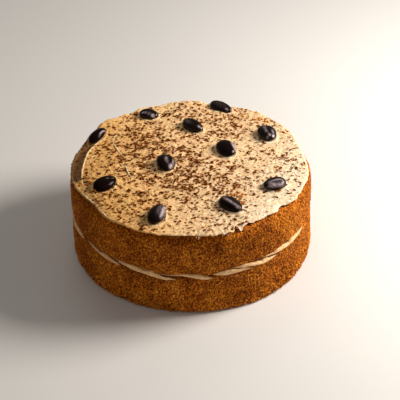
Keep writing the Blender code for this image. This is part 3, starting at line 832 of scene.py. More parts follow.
class Sponge:
    """Smooth rings of a sponge, the way each faces, in radians up from level, and its share of relief."""

    def __init__(self):
        self.angle = even_turns(SIDE_COLUMNS)
        self.side = side_radius(self.angle)
        self.rings, self.leans, self.shares = [], [], []

    def add(self, radius, height, lean, share):
        self.rings.append(on_circle(self.angle, radius, height))
        self.leans.append(lean)
        self.shares.append(share)

    def rounding(self, first, size, middle, least=1.0, most=1.0):
        """Rings a quarter of the way round an edge, from a first lean; middle is the level point's height."""
        for turn in np.linspace(first, first + QUARTER, max(int(QUARTER * size / ROW_STEP), 3) + 1):
            radius = self.side - size * (1 - math.cos(turn))
            share = least + (most - least) * math.cos(turn)
            self.add(radius, middle(radius) + size * math.sin(turn), turn, share)

    def wall(self, foot, top, height, coarseness):
        """Rings up the side, which is coarser at its foot; its usual height says how many."""
        for share in np.linspace(0, 1, int(height / ROW_STEP) + 1)[1:-1]:
            self.add(self.side + BARREL * math.sin(math.pi * share), foot + (top - foot) * share, 0.0,
                     1.0 + coarseness * (1 - share) ** 1.5)

    def seam(self, radii, side):
        """Smooth rings of the face along the filling."""
        for radius in radii:
            self.add(radius, seam_face(self.angle, radius, side), -side * QUARTER, 0.0)

    def finish(self, name, node, material):
        """Makes the sponge, with the crumb's relief and the attribute that colours it."""
        rings = np.array(self.rings)
        leans, shares = (np.array(values)[:, None] for values in (self.leans, self.shares))
        relief = sponge_relief(rings.reshape(-1, 3)).reshape(rings.shape[:2]) * shares
        outward = rings[..., :2] / np.linalg.norm(rings[..., :2], axis=-1, keepdims=True)
        rings[..., :2] += outward * (relief * np.cos(leans))[..., None]
        rings[..., 2] = np.maximum(rings[..., 2] + relief * np.sin(leans), 0.0)
        obj = mesh_object(name, *stacked(rings), material)
        # Colour follows the relief: the darker low relief and pores are partly painted shade
        shown = 0.5 + relief / (PALEST_RELIEF * np.maximum(shares, 1.0))
        set_attribute(obj, "relief", np.append(np.clip(shown, 0, 1), (0.5, 0.5)))
        belongs(obj, "sponge", node)


def lower_sponge(material):
    """The bottom sponge: rounded foot, porous side, softer edge at the seam."""
    sponge = Sponge()
    wall_top = seam_face(sponge.angle, CAKE_RADIUS, -1) - SEAM_ROUNDING
    sponge.add(0.5 * sponge.side, 0.0, -QUARTER, 0.0)
    sponge.rounding(-QUARTER, FOOT_ROUNDING, lambda _: FOOT_ROUNDING, FOOT_RELIEF, 1.0 + COARSE_FOOT)
    sponge.wall(FOOT_ROUNDING, wall_top, SEAM_HEIGHT - FOOT_ROUNDING, COARSE_FOOT)
    sponge.rounding(0.0, SEAM_ROUNDING, lambda _: wall_top, SEAM_RELIEF)
    sponge.seam(FLAT_RADII[1::-1], -1)
    sponge.finish("sponge_bottom_crumb", "sponge_bottom", material)


def upper_sponge(material):
    """The top sponge, with a rounded shoulder that shows where the icing stops short."""
    sponge = Sponge()
    wall_foot = seam_face(sponge.angle, CAKE_RADIUS, 1) + SEAM_ROUNDING
    sponge.seam(FLAT_RADII[:-1], 1)
    sponge.rounding(-QUARTER, SEAM_ROUNDING, lambda _: wall_foot, SEAM_RELIEF)
    wall_top = crown_height(sponge.angle, sponge.side) - SHOULDER
    sponge.wall(wall_foot, wall_top, SPONGE_TOP - SEAM_HEIGHT - SHOULDER, 0.0)
    sponge.rounding(0.0, SHOULDER, lambda radius: crown_height(sponge.angle, radius) - SHOULDER)
    for radius in reversed(FLAT_RADII):
        sponge.add(radius, crown_height(sponge.angle, radius), QUARTER, 0.0)
    sponge.finish("sponge_top_crumb", "sponge_top", material)


def bean_frame(x, y, row):
    """Where points lie along and across a bean, in metres, and in half sizes from its middle."""
    bean_x, bean_y, heading, length, width, *_ = row
    along, across = turned(x - bean_x * MM, y - bean_y * MM, math.radians(heading))
    return along, across, np.hypot(along / (0.5 * length * MM), across / (0.5 * width * MM))


def bean_centre(row):
    """Height of a bean's middle."""
    bean_x, bean_y, thickness = row[0], row[1], row[5]
    bearing = np.arctan2(np.float64(bean_y), np.float64(bean_x))
    surface = float(icing_height(bearing, np.float64(math.hypot(bean_x, bean_y) * MM)))
    return surface + 0.5 * thickness * MM - BEAN_SINK


def press_beans(x, y, height):
    """Presses each bean's hollow into the icing, with the soft rim that it pushes up."""
    rim_height = (RIM_HEIGHTS[0] + RIM_HEIGHTS[1] * (0.5 + 0.5 * noise(plan_points(x, y), 5 * MM, 81))) * MM
    for row in BEANS:
        _, _, _, length, width, thickness, roll, _ = row
        along, across, _ = bean_frame(x, y, row)
        taper = 1.0 - BEAN_TAPER * 2 * along / (length * MM)
        away = np.hypot(along / (0.5 * length * MM), across / (0.5 * width * MM * taper))
        height = height + rim_height * hump(away, *RIM_SHAPE)
        lift = across * math.sin(math.radians(roll))
        depth = 0.5 * thickness * MM * BEAN_FLATTENING * np.sqrt(np.clip(1 - away ** 2, 0, 1))
        hollow = bean_centre(row) + lift - depth - HOLLOW_GAP
        height = np.where(away < 1.0, np.minimum(height, hollow), height)
    return height


def bean_rims(x, y):
    """Whether points lie on the soft rim pushed up round a bean, from 0 to 1."""
    return np.max([hump(bean_frame(x, y, row)[2], *RIM_SHOWN) for row in BEANS], axis=0)


def knife_strokes(x, y):
    """Low relief of overlapping palette knife strokes, each one wiping out what it crosses."""
    draw = random.Random(STROKE_SEED)
    total = relief_of(plan_points(x, y), STROKE_BASE)
    for index in range(STROKE_COUNT):
        shift, area, swing, bend, long, wide, lean = drawn(draw, STROKE_RANGES)
        bearing = 2 * math.pi * (index * STROKE_TURN + shift)
        reach = CAKE_RADIUS * math.sqrt(area)
        long, wide = long * MM, wide * MM
        along, across = turned(x - reach * math.cos(bearing), y - reach * math.sin(bearing),
                               bearing + QUARTER + swing)
        across = across - 0.5 * bend * along ** 2
        inside = 1 - smoothstep(0.40 * long, 0.5 * long, np.abs(along))
        inside = inside * (1 - smoothstep(0.5 * wide - STROKE_EDGE, 0.5 * wide + STROKE_EDGE, np.abs(across)))
        depth, size, seed = STROKE_DRAG
        drag = relief_of(plan_points(along, across, index * MM), ((depth, size, seed + index),))
        ridge = hump(across, 0.5 * wide * (1 if lean > 0 else -1) * 0.93, 1.1 * MM)
        profile = STROKE_TILT * lean * across / (0.5 * wide) + drag + STROKE_RIDGE * ridge
        total = total * (1 - inside) + profile * inside
    return total


def ridge_frame(angle, radius):
    """How far points lie outside the curved ridge on the left, and how much it shows at their bearing."""
    bearings, radii = np.array(LEFT_RIDGE).T
    bearing = np.degrees(angle) % 360.0
    outside = radius - np.interp(bearing, bearings, radii) * MM
    shown = smoothstep(bearings[0], bearings[0] + LEFT_RIDGE_FADE, bearing)
    return outside, shown * (1 - smoothstep(bearings[-1] - LEFT_RIDGE_FADE, bearings[-1], bearing))


def outside_ridge(angle, radius):
    """Whether points lie on the slope outside the curved ridge, with its dust and painted shade, from 0 to 1.
    """
    outside, shown = ridge_frame(angle, radius)
    return shown * smoothstep(0.0, DUSTY_SHADED_START, outside)


def left_ridge(angle, radius):
    """The curved ridge on the left, with the top stepping down outside it."""
    outside, shown = ridge_frame(angle, radius)
    crest = LEFT_RIDGE_HEIGHT * hump(outside, 0.0, LEFT_RIDGE_WIDTH)
    rise = LEFT_RISE * smoothstep(-LEFT_RISE_REACH, 0.0, outside)
    return shown * (crest + rise - (LEFT_RISE + LEFT_STEP) * smoothstep(0.0, LEFT_STEP_REACH, outside))


def drift_weight(x, y):
    """How thickly the shavings lie at a place, from 0 to 1."""
    return gathered(x, y, DRIFTS, STRAY_WEIGHT)


def small_weight(x, y):
    """How thickly the small shavings and their dust lie at a place, from 0 to 1."""
    return gathered(x, y, SMALL_DRIFTS, SMALL_SHARE)


def icing_surface(x, y):
    """Height of the finished icing over any place of the top."""
    angle, radius = np.arctan2(y, x), np.hypot(x, y)
    height = icing_height(angle, radius) + knife_strokes(x, y) + left_ridge(angle, radius)
    lumpiness = LUMPINESS[0] + LUMPINESS[1] * small_weight(x, y)
    return press_beans(x, y, height + lumpiness * relief_of(plan_points(x, y), ICING_LUMPS))


def feathering(angle):
    """How thinly the icing runs out at its edge."""
    return FEATHER_LEAST + sum(share * bump(angle, bearing, spread) for bearing, spread, share in FEATHERED)


def ragged_edge(angle):
    """How far the icing's real edge stands beyond its smooth outline."""
    rim = on_circle(angle, CAKE_RADIUS, 0.0)
    rags = feathering(angle) * relief_of(rim, EDGE_RAGS)
    return relief_of(rim, EDGE_WAVE) + rags + bumps(angle, EDGE_TRIM)


def disc_grid(steps):
    """Even places over the unit disc, as radii and bearings, from a square grid bent round."""
    line = np.linspace(-1, 1, steps + 1)
    a, b = (values.ravel() for values in np.meshgrid(line, line))
    wide = np.abs(a) > np.abs(b)
    reach = np.where(wide, a, b)
    safe = np.where(reach == 0, 1.0, reach)
    turn = np.where(wide, 0.25 * math.pi * b / safe, 0.5 * math.pi - 0.25 * math.pi * a / safe)
    return np.abs(reach), np.arctan2(reach * np.sin(turn), reach * np.cos(turn))


def lip_loops(turn, rim, rim_top):
    """Rings of points down the icing's lip and in along its underside, from its rim."""
    rest = crown_height(turn, rim) - shoulder_drop(turn, rim)
    foot = np.minimum(np.maximum(rest - LIP_BITE, rim_top - LIP_HEIGHT), rim_top - LIP_LEAST)
    wave = relief_of(on_circle(turn, CAKE_RADIUS, 0.0), LIP_WAVE)
    soft = np.clip(feathering(turn), 0.0, 1.0)
    loops = []
    for firm, feathered, down in LIP_RINGS:
        out = (firm + (feathered - firm) * soft) * MM
        loops.append(on_circle(turn, rim + out + wave, rim_top + (foot - rim_top) * down))
    inner = np.minimum(side_radius(turn) - SHOULDER, rim - 2 * RIM_TUCK)
    loops.append(on_circle(turn, inner, crown_height(turn, inner) - LIP_BITE))
    loops.append(on_circle(turn, FLAT_RADII[0], crown_height(turn, FLAT_RADII[0])))
    return loops


def icing(material, cover):
    """The buttercream top: an even grid for the surface, then rings for the lip and the underside."""
    reach, angle = disc_grid(ICING_STEPS)
    pulled = bumps(angle, EDGE_SPIKES) * smoothstep(*SPIKE_REACH, reach)
    radius = np.maximum(reach * (icing_radius(angle) + ragged_edge(angle)) + pulled, 0.01 * MM)
    x, y = radius * np.cos(angle), radius * np.sin(angle)
    places = plan_points(x, y)
    torn = relief_of(places, EDGE_TEARS) * smoothstep(*TORN_SIDE, y / radius)
    top = icing_surface(x, y) - SPIKE_FALL * np.maximum(pulled, 0.0) + torn * smoothstep(*TORN_REACH, reach)
    roll = RIM_ROLL * hump((1 - reach) * CAKE_RADIUS, RIM_ROLL_WIDTH, RIM_ROLL_WIDTH)
    top += roll * np.clip(0.5 + noise(places, 6 * MM, 116), 0, 1)

    count = len(x)
    grid = np.arange(count).reshape(ICING_STEPS + 1, -1)
    faces = quads(grid[:-1, :-1], grid[:-1, 1:], grid[1:, 1:], grid[1:, :-1])
    above = np.concatenate((grid[:-1, -1], grid[-1, :0:-1], grid[:0:-1, 0], grid[0, :-1]))
    points = [np.stack((x, y, top), axis=1)]
    turn = even_turns(4 * ICING_STEPS) - 0.25 * math.pi
    for loop in lip_loops(turn, radius[above], top[above]):
        below = count + np.arange(len(loop))
        faces += quads(above, below, np.roll(below, -1), np.roll(above, -1))
        points.append(loop)
        above = below
        count += len(loop)
    points.append(np.array([(0.0, 0.0, SPONGE_TOP)]))
    faces += [(count, after, here) for here, after in zip(above.tolist(), np.roll(above, -1).tolist())]

    obj = mesh_object("icing_spread", np.concatenate(points), faces, material)
    # Dust on the slope past the ridge, which partly stands in as painted shade
    slope = (SLOPE_DUST_AND_SHADE[0] + SLOPE_DUST_AND_SHADE[1] * noise(places, 2.2 * MM, 124)) * outside_ridge(angle, radius)
    dust = np.zeros(len(obj.data.vertices))
    dust[:len(x)] = np.maximum(dust_at(x, y, cover) * (1 - CLEAN_RIMS * bean_rims(x, y)), slope)
    set_attribute(obj, "dust", dust)
    paint_cream_tone_and_light(obj)
    belongs(obj, "icing", "icing_top")


def paint_cream_tone_and_light(obj, shift=0.0):
    """Stores each point's place along the change of the cream's tone and painted light, from 0 on the left to
    1.
    """
    points = np.array([vert.co for vert in obj.data.vertices])
    x, y = points[:, 0], points[:, 1]
    # Painted light and shade across the top, paler to the right, with painted shade on the slope past the
    # ridge and at the front left
    place = 0.5 + 0.5 * (x - LIGHT_LEAN * y * smoothstep(*LIGHT_LEAN_REACH, x)) / CAKE_RADIUS
    place = np.maximum(place, LEAST_TONE_AND_LIGHT) - SLOPE_SHADE * outside_ridge(np.arctan2(y, x), np.hypot(x, y))
    place -= LEFT_SHADE * smoothstep(*LEFT_SHADE_NEAR, y) * smoothstep(*LEFT_SHADE_SIDE, x)
    # Painted highlights on the beans' rims and, through the shift, on the knife ridges
    place += BEAN_RIM_PAINTED_HIGHLIGHT * bean_rims(x, y) + shift + TINT_MOTTLE * noise(points, 16 * MM, 122)
    set_attribute(obj, "tone_and_light", np.clip(place, 0.0, 1.0))


def smear(first, last, start_lift, middle_lift, end_lift, thick, deep, peak):
    """Points and faces of one smear of filling, a strip along the seam that tapers to both ends."""
    share = np.linspace(0, 1, SMEAR_STATIONS)
    angle = np.radians(first + (last - first) * share)
    skewed = np.clip(share, *SMEAR_ENDS) ** (math.log(0.5) / math.log(peak))
    taper = np.sin(math.pi * skewed) ** SMEAR_FULLNESS
    path = on_circle(angle, CAKE_RADIUS, 0.0)
    ripple = SMEAR_RIPPLE * (noise(path, 5 * MM, 131) + 0.7 * noise(path, 2.2 * MM, 132))
    lift = start_lift * (1 - share) * (1 - 2 * share) + 4 * middle_lift * share * (1 - share)
    lift = lift + end_lift * share * (2 * share - 1)
    middle = seam_height(angle, CAKE_RADIUS) + (lift + ripple) * MM
    half = 0.5 * thick * MM * taper * (1 + ripple)
    inset = side_radius(angle) - SMEAR_INSET
    points, faces = tube(SMEAR_SIDES, lambda out, up: on_circle(angle, inset + deep * MM * taper * out,
                                                                middle + half * up))
    drag = relief_of(points, SMEAR_DRAG)
    points[:, :2] *= (1 + drag / np.linalg.norm(points[:, :2], axis=1))[:, None]
    return points, faces


def filling_smears():
    """The smears that show, and more of the same habit round the back."""
    draw = random.Random(SMEAR_SEED)
    rows = list(SMEARS)
    for bearing in HIDDEN_SMEAR_BEARINGS:
        shift, run, *rest = drawn(draw, HIDDEN_SMEAR_RANGES)
        rows.append((bearing + shift, bearing + shift + run, *rest))
    return rows


def filling(material):
    """The buttercream between the sponges: a disc with a soft rippled edge, and the smears there."""
    angle = even_turns(SIDE_COLUMNS)
    half = filling_half(angle, CAKE_RADIUS)
    proud = np.maximum(half - FILLING_THICKNESS / 2, 0.0)
    edge = side_radius(angle) - CREAM_RECESS + CREAM_BULGE * proud
    inner = side_radius(angle) - 2 * SEAM_ROUNDING
    rings = [on_circle(angle, radius, seam_face(angle, radius, -1, 0.0)) for radius in FLAT_RADII[:-1]]
    for turn in np.linspace(-QUARTER, QUARTER, FILLING_EDGE_RINGS):
        radius = inner + (edge - inner) * math.cos(turn) ** CREAM_ROUNDNESS
        height = seam_height(angle, CAKE_RADIUS) + half * math.sin(turn)
        ripple = relief_of(on_circle(angle, radius, height), CREAM_RIPPLE) * math.cos(turn)
        rings.append(on_circle(angle, radius + ripple, height))
    rings += [on_circle(angle, radius, seam_face(angle, radius, 1, 0.0)) for radius in FLAT_RADII[1::-1]]
    parts = [stacked(np.array(rings))] + [smear(*row) for row in filling_smears()]
    belongs(mesh_object("filling_cream", *joined(parts), material), "filling", "filling")


def bean(index, row, materials):
    """One chocolate coffee bean: an egg-shaped dome over a flatter underside, lumpy and creased."""
    x, y, heading, length, width, thickness, roll, crease = row
    lat = np.linspace(0, math.pi, BEAN_ROWS + 1)[1:-1, None]
    lon = even_turns(BEAN_COLUMNS)
    unit = plan_points(0.5 * np.cos(lat), 0.5 * np.sin(lat) * np.sin(lon), 0.5 * np.sin(lat) * np.cos(lon))
    unit = np.vstack((unit, ((0.5, 0, 0), (-0.5, 0, 0))))
    u, v, w = unit.T
    lumps = 1 + sum(depth * noise(unit, size, seed + index) for depth, size, seed in BEAN_LUMPS)
    finish, crease_place, *patches = BEAN_LOOKS[index - 1]
    bend = crease_place + CREASE_BEND * np.sin(2 * math.pi * u + index)
    groove = crease * hump(v, bend, CREASE_WIDTH) * np.clip(1 - (u / CREASE_REACH) ** 2, 0, 1)
    groove = np.where(w < 0, 0.0, groove)
    taper = (1.0 - BEAN_TAPER * 2 * u) * lumps
    low = np.where(w < 0, BEAN_FLATTENING, 1.0)
    up = w * low * taper * thickness - groove
    shape = np.stack((u * length * lumps, v * taper * width, up), axis=1) * MM
    turn = Matrix.Rotation(math.radians(heading), 3, "Z") @ Matrix.Rotation(math.radians(roll), 3, "X")
    placed = shape @ np.array(turn).T + np.array((x * MM, y * MM, bean_centre(row)))
    obj = mesh_object(f"coffee_bean_{index:02d}", placed, closed_faces(BEAN_ROWS - 1, BEAN_COLUMNS),
                      materials[finish])
    bloom_and_sheen_share = np.zeros(len(u))
    # The patches are partly bloom and partly painted highlights, sheen and reflections
    for along, across, reach, spread, share in patches:
        away = ((u - along) / reach) ** 2 + ((v - across) / spread) ** 2
        bloom_and_sheen_share = np.maximum(bloom_and_sheen_share, share * np.exp(-away ** 1.5))
    set_attribute(obj, "bloom_and_sheen", bloom_and_sheen_share * smoothstep(0.0, 0.08, w) * (1 - np.clip(1.5 * groove, 0, 0.9)))
    belongs(obj, "bean", f"bean_{index:02d}")


def near_bean(x, y):
    """Whether a place is too close to a bean for a large shaving."""
    return any(math.hypot(x - bean_x * MM, y - bean_y * MM) < 0.5 * length * MM + SHAVING_CLEARANCE
               for bean_x, bean_y, _, length, *_ in BEANS)


def large_shavings():
    """Places, headings and lengths of the largest shavings, by the same seeded draws as the solids."""
    draw = random.Random(SHAVING_SEED)
    spots = []
    while len(spots) < SHAVING_COUNT:
        x = draw.uniform(-1, 1) * SHAVING_REACH
        y = draw.uniform(-1, 1) * SHAVING_REACH
        heading = draw.gauss(*SHAVING_HEADING)
        length = draw.uniform(*SHAVING_LENGTHS)
        chosen = draw.random() < drift_weight(x, y)
        crowded = any(math.hypot(x - spot[0], y - spot[1]) < SHAVING_SPACING for spot in spots)
        if chosen and not crowded and not near_bean(x, y) and math.hypot(x, y) < SHAVING_REACH:
            spots.append((x, y, heading, length))
    return np.array(spots)


def scattered(count, draw, clear, gathering):
    """Places on the icing for small shavings, clear of the beans, and denser in the drifts."""
    found = []
    while len(found) < count:
        x, y = draw.uniform(-1, 1, (2, 4 * count)) * ICING_RADIUS
        clumping = CLUMP_CONTRAST * CLUMPING * (0.3 + 0.7 * drift_weight(x, y))
        clumps = 1.0 + clumping * noise(plan_points(x, y), np.array(CLUMP_SIZE), CLUMP_SEED)
        chance = small_weight(x, y) ** gathering * np.maximum(clumps, CLUMP_LEAST)
        kept = OVERDRAW * draw.random(4 * count) < chance
        kept &= np.hypot(x, y) < icing_radius(np.arctan2(y, x)) - FLECK_INSET
        for row in BEANS:
            kept &= bean_frame(x, y, row)[2] > clear
        found += np.column_stack((x, y))[kept].tolist()
    return np.array(found[:count])


def fleck_batches(draw):
    """Every shaving's place, heading, length, width, thickness and bend: large ones, curls, and chips."""
    large = large_shavings()
    curls = scattered(CURL_COUNT, draw, CURL_CLEARANCE, 2.0)
    chips = scattered(CHIP_COUNT, draw, CHIP_CLEARANCE, 1.0)
    curl_lengths = draw.uniform(1.5, 3.2, CURL_COUNT) * MM
    chip_lengths = draw.gamma(2.2, 0.58, CHIP_COUNT).clip(0.45, 3.4) * MM
    lies = (
        (large[:, :2], large[:, 2], large[:, 3]),
        (curls, draw.normal(0.15, 0.55, CURL_COUNT), curl_lengths),
        (chips, draw.normal(0.1, 0.6, CHIP_COUNT), chip_lengths * (0.34 + 0.64 * small_weight(*chips.T))),
    )
    batches = []
    for (name, wide, thick, curl, stations), (spots, headings, lengths) in zip(FLECK_KINDS, lies):
        widths = lengths * draw.uniform(*wide, len(spots))
        thicks = draw.uniform(*thick, len(spots)) * MM
        bends = draw.uniform(*curl, len(spots))
        batches.append((name, spots, headings, lengths, widths, thicks, bends, stations))
    return batches


def dust_cover(batches):
    """How thickly the shavings cover each place of the top, softened, as a grid."""
    steps = int(2 * CAKE_RADIUS / DUST_STEP) + 1
    cover = np.zeros((steps, steps))
    for _, spots, _, lengths, widths, *_ in batches:
        column, row = ((spots + CAKE_RADIUS) / DUST_STEP).astype(int).T
        np.add.at(cover, (row, column), lengths * widths / DUST_STEP ** 2)
    kernel = np.exp(-0.5 * (np.arange(-DUST_REACH, DUST_REACH + 1) * DUST_STEP / DUST_SOFTNESS) ** 2)
    for axis in (0, 1):
        cover = np.apply_along_axis(np.convolve, axis, cover, kernel / kernel.sum(), "same")
    return cover


def dust_at(x, y, cover):
    """How dusty the icing is at places of the top, from 0 to 1."""
    places = (np.array((x, y)) + CAKE_RADIUS) / DUST_STEP
    column, row = places.clip(0, len(cover) - 1).astype(int)
    return gathered(x, y, DUST_DRIFTS, DUST_MOST * smoothstep(*DUST_RANGE, cover[row, column]))


def strip_shape(stations, curl, twist, taper, draw):
    """Points of a strip of shaved chocolate, one unit long, with their lift: curled, twisted and tapered."""
    share = np.linspace(-0.5, 0.5, stations)
    radius = 1.0 / max(abs(curl), 0.05)
    points = []
    for s, along, lift in zip(share, radius * np.sin(curl * share), radius * (1 - np.cos(curl * share))):
        half = 0.5 * (1 - taper * abs(2 * s) ** 1.5) * draw.uniform(0.82, 1.15)
        thick = 0.5 * draw.uniform(0.8, 1.15)
        for side, above in ((-1, -1), (1, -1), (1, 1), (-1, 1)):
            across, up = turned(half * side, thick * above, -twist * s)
            points.append((along, across, up, lift))
    return np.array(points)


def lay_strips(spots, headings, lengths, widths, thicks, curls, draw, stations):
    """Points and faces of many strips laid on the icing, each tilted to the surface under it."""
    x, y = spots[:, 0], spots[:, 1]
    z = icing_surface(x, y)
    slope_x = (icing_surface(x + SLOPE_STEP, y) - icing_surface(x - SLOPE_STEP, y)) / (2 * SLOPE_STEP)
    slope_y = (icing_surface(x, y + SLOPE_STEP) - icing_surface(x, y - SLOPE_STEP)) / (2 * SLOPE_STEP)
    last = 4 * (stations - 1)
    faces = [(a, d, c, b) for a, b, c, d in around(stations, 4)]
    faces += [(0, 1, 2, 3), (last + 3, last + 2, last + 1, last)]
    parts = []
    for i in range(len(spots)):
        strip = strip_shape(stations, curls[i], draw.uniform(-0.8, 0.8), draw.uniform(0.4, 0.95), draw)
        along, across, up, lift = strip.T
        along = along * lengths[i]
        up = up * thicks[i] + lift * lengths[i] * (1 if draw.random() < 0.5 else -1)
        up = up + along * math.sin(draw.normal(0, 0.12))
        up -= up.min() + LET_IN[0] * thicks[i] + LET_IN[1] * (up.max() - up.min())
        dx, dy = turned(along, across * widths[i], -headings[i])
        fall = np.clip(slope_x[i] * dx + slope_y[i] * dy, -SLOPE_MOST, SLOPE_MOST)
        parts.append((np.column_stack((x[i] + dx, y[i] + dy, z[i] + fall + up)), faces))
    return joined(parts)


def shavings(material, batches, draw):
    """Chocolate shavings: the large ones of the solids, small curls, and chips down to dust."""
    for name, *shape, stations in batches:
        belongs(mesh_object(name, *lay_strips(*shape, draw, stations), material, smooth=False), "icing")


def crumb_shape():
    """The corners and faces of a small twenty-sided crumb, one unit across."""
    golden = (1 + math.sqrt(5)) / 2
    corners = []
    for a, b in itertools.product((-1, 1), (-golden, golden)):
        corners += [(0, a, b), (a, b, 0), (b, 0, a)]
    corners = np.array(corners, float) / (2 * math.hypot(1, golden))
    near = 1.05 / math.hypot(1, golden)
    faces = []
    for trio in itertools.combinations(range(12), 3):
        p, q, r = corners[list(trio)]
        if max(np.linalg.norm(p - q), np.linalg.norm(q - r), np.linalg.norm(r - p)) < near:
            outward = np.dot(np.cross(q - p, r - p), p) > 0
            faces.append(trio if outward else trio[::-1])
    return corners, faces


def lumps_at(name, middles, sizes, draw, material, smooth):
    """A piece made of small uneven lumps, one at each place."""
    corners, faces = crumb_shape()
    parts = []
    for middle, size in zip(middles, sizes):
        shape = corners * draw.uniform(0.65, 1.2, (12, 1)) * draw.uniform(0.6, 1.1, 3) * size
        parts.append((shape + middle, faces))
    return mesh_object(name, *joined(parts), material, smooth)


def fringe(material):
    """Bits of cream on the sponge's shoulder, just past the icing's edge."""
    draw = np.random.default_rng(FRINGE_SEED)
    middles, sizes = [], []
    for _ in range(FRINGE_COUNT):
        angle = np.float64(math.radians(draw.uniform(*FRINGE_BEARINGS)))
        radius = icing_radius(angle)
        height = icing_height(angle, radius) - LIP_HEIGHT + draw.uniform(*FRINGE_DROP) * MM
        middles.append(on_circle(angle, radius + FRINGE_OUT, height))
        sizes.append(np.array(FRINGE_SHAPE) * draw.uniform(0.7, 1.3) * MM)
    obj = lumps_at("icing_fringe", middles, sizes, draw, material, True)
    paint_cream_tone_and_light(obj)
    belongs(obj, "icing")


def ridge_tube(x, y, half):
    """Points and faces of a thin ridge of cream along a path on the icing, tapered to both ends."""
    z = icing_surface(x, y)
    along_x, along_y = np.gradient(x), np.gradient(y)
    run = np.hypot(along_x, along_y)
    thick = half * MM * np.sin(math.pi * np.clip(np.linspace(0, 1, len(x)), 0.02, 0.98)) ** 0.6
    thick = thick * (1 + 0.4 * noise(plan_points(x, y), 1.8 * MM, 123))

    def line(out, up):
        aside = RIDGE_BREADTH * thick * out
        height = z + thick * (0.25 + 0.65 * up)
        return np.stack((x - along_y / run * aside, y + along_x / run * aside, height), axis=1)

    return tube(RIDGE_SIDES, line)


def knife_ridges(material):
    """The thin ridges of cream that the knife's edge and corner left, and a line along the left rim, tinted
    paler as a painted highlight.
    """
    share = np.linspace(0, 1, RIDGE_STATIONS)
    tubes = []
    for start_x, start_y, end_x, end_y, half in FINE_RIDGES:
        run_x, run_y = end_x - start_x, end_y - start_y
        bow = RIDGE_BOW * np.sin(math.pi * share) / math.hypot(run_x, run_y)
        x, y = start_x + run_x * share + bow * run_y, start_y + run_y * share - bow * run_x
        tubes.append(ridge_tube(x * MM, y * MM, half))
    bearings, radii = np.array(LEFT_RIDGE).T
    crest = np.radians(np.linspace(bearings[0], bearings[-1], RIDGE_STATIONS))
    crest_reach = np.interp(np.degrees(crest), bearings, radii) * MM
    rim = np.radians(np.linspace(*RIM_LINE, RIDGE_STATIONS))
    rim_reach = icing_radius(rim) + ragged_edge(rim) - RIM_LINE_INSET
    for turn, reach, half in ((crest, crest_reach, CREST_HALF), (rim, rim_reach, RIM_LINE_HALF)):
        tubes.append(ridge_tube(reach * np.cos(turn), reach * np.sin(turn), half))
    obj = mesh_object("icing_ridges", *joined(tubes), material)
    # The ridges' cream is shifted paler, a painted highlight
    paint_cream_tone_and_light(obj, RIDGE_PAINTED_HIGHLIGHT)
    belongs(obj, "icing")


def crumbs(material):
    """Loose crumbs: stuck to the side, thickest near the foot and the shoulder, and a few on the icing."""
    draw = np.random.default_rng(CRUMB_SEED)
    middles, sizes = [], []
    for _ in range(CRUMB_COUNT):
        angle = draw.uniform(-math.pi, math.pi)
        height = draw.choice(drawn(draw, CRUMB_HEIGHTS)) * MM
        if abs(height - seam_height(angle, CAKE_RADIUS)) >= CRUMB_CLEARANCE:
            middles.append(on_circle(angle, side_radius(angle) + CRUMB_OUT, height))
            size = draw.uniform(*CRUMB_SIZES) * MM
            sizes.append(size * (1 + FOOT_CRUMB_GROWTH * (height < FOOT_CRUMB_TOP) * draw.random()))
    for x, y, spread, count in ICING_CRUMBS:
        for _ in range(count):
            spot_x, spot_y = draw.normal(x, spread) * MM, draw.normal(y, spread) * MM
            if math.hypot(spot_x, spot_y) < ICING_RADIUS - ICING_CRUMB_INSET:
                surface = float(icing_surface(np.array([spot_x]), np.array([spot_y]))[0])
                middles.append(np.array((spot_x, spot_y, surface + ICING_CRUMB_RISE)))
                sizes.append(draw.uniform(*ICING_CRUMB_SIZES) * MM)
    belongs(lumps_at("loose_crumbs", middles, sizes, draw, material, False), "sponge")


def area_light(name, bearing, height, distance, wide, tall, power, colour):
    """A soft oval light that faces the cake. Only the key shows in glossy things."""
    data = bpy.data.lights.new(name, "AREA")
    data.shape = "ELLIPSE"
    data.size = wide
    data.size_y = tall
    data.energy = power
    data.color = colour
    obj = bpy.data.objects.new(name, data)
    level, turn = math.radians(height), math.radians(bearing)
    away = Vector((math.cos(level) * math.cos(turn), math.cos(level) * math.sin(turn), math.sin(level)))
    obj.location = Vector(LIGHT_TARGET) + distance * away
    obj.rotation_euler = (-away).to_track_quat("-Z", "Y").to_euler()
    obj.visible_glossy = name == "key"
    bpy.context.scene.collection.objects.link(obj)


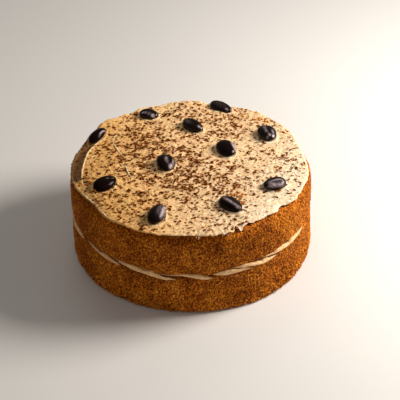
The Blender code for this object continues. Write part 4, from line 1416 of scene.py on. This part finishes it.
def studio():
    """A pale floor, a soft key from the right, and gentle fill."""
    corners = FLOOR_HALF * plan_points((-1, 1, 1, -1), (-1, -1, 1, 1))
    floor = mesh_object("floor", corners, [(0, 1, 2, 3)], plain_material("floor", 500, FLOOR_GREYS, 0.6, 0.2))
    for row in LIGHTS:
        area_light(*row)
    world = bpy.data.worlds.new("studio")
    world.use_nodes = True
    background = world.node_tree.nodes["Background"].inputs
    background["Color"].default_value = WORLD_COLOUR
    background["Strength"].default_value = WORLD_STRENGTH
    bpy.context.scene.world = world
    bpy.context.scene.view_settings.view_transform = "Standard"


def camera():
    """The photograph's view, from a fitted place, direction and lens."""
    data = bpy.data.cameras.new("camera")
    data.lens = CAMERA_LENS
    data.sensor_width = CAMERA_SENSOR
    obj = bpy.data.objects.new("camera", data)
    level = math.cos(CAMERA_PITCH)
    ahead = Vector((math.sin(CAMERA_YAW) * level, math.cos(CAMERA_YAW) * level, math.sin(CAMERA_PITCH)))
    right = Vector((math.cos(CAMERA_YAW), -math.sin(CAMERA_YAW), 0.0))
    up = right.cross(ahead)
    rolled_right = right * math.cos(CAMERA_ROLL) + up * math.sin(CAMERA_ROLL)
    rolled_up = up * math.cos(CAMERA_ROLL) - right * math.sin(CAMERA_ROLL)
    turn = Matrix((rolled_right, rolled_up, -ahead)).transposed()
    obj.matrix_world = Matrix.Translation(CAMERA_PLACE) @ turn.to_4x4()
    bpy.context.scene.collection.objects.link(obj)
    bpy.context.scene.camera = obj


def dress_cake():
    """Makes every visible piece of the cake."""
    sponge = sponge_material()
    lower_sponge(sponge)
    upper_sponge(sponge)
    filling(cream_material("filling_cream", FILLING_CREAM, False))
    buttercream = cream_material("icing_cream", ICING_CREAM, True)
    draw = np.random.default_rng(FLECK_SEED)
    batches = fleck_batches(draw)
    icing(buttercream, dust_cover(batches))
    fringe(buttercream)
    knife_ridges(buttercream)
    chocolates = {finish: bean_material(finish, gloss) for finish, gloss in BEAN_GLOSS.items()}
    for index, row in enumerate(BEANS, start=1):
        bean(index, row, chocolates)
    shavings(shaving_material(), batches, draw)
    crumbs(plain_material("crumb", 1.8, CRUMB_BROWNS, 0.9, 0.25))


camera()
studio()
dress_cake()
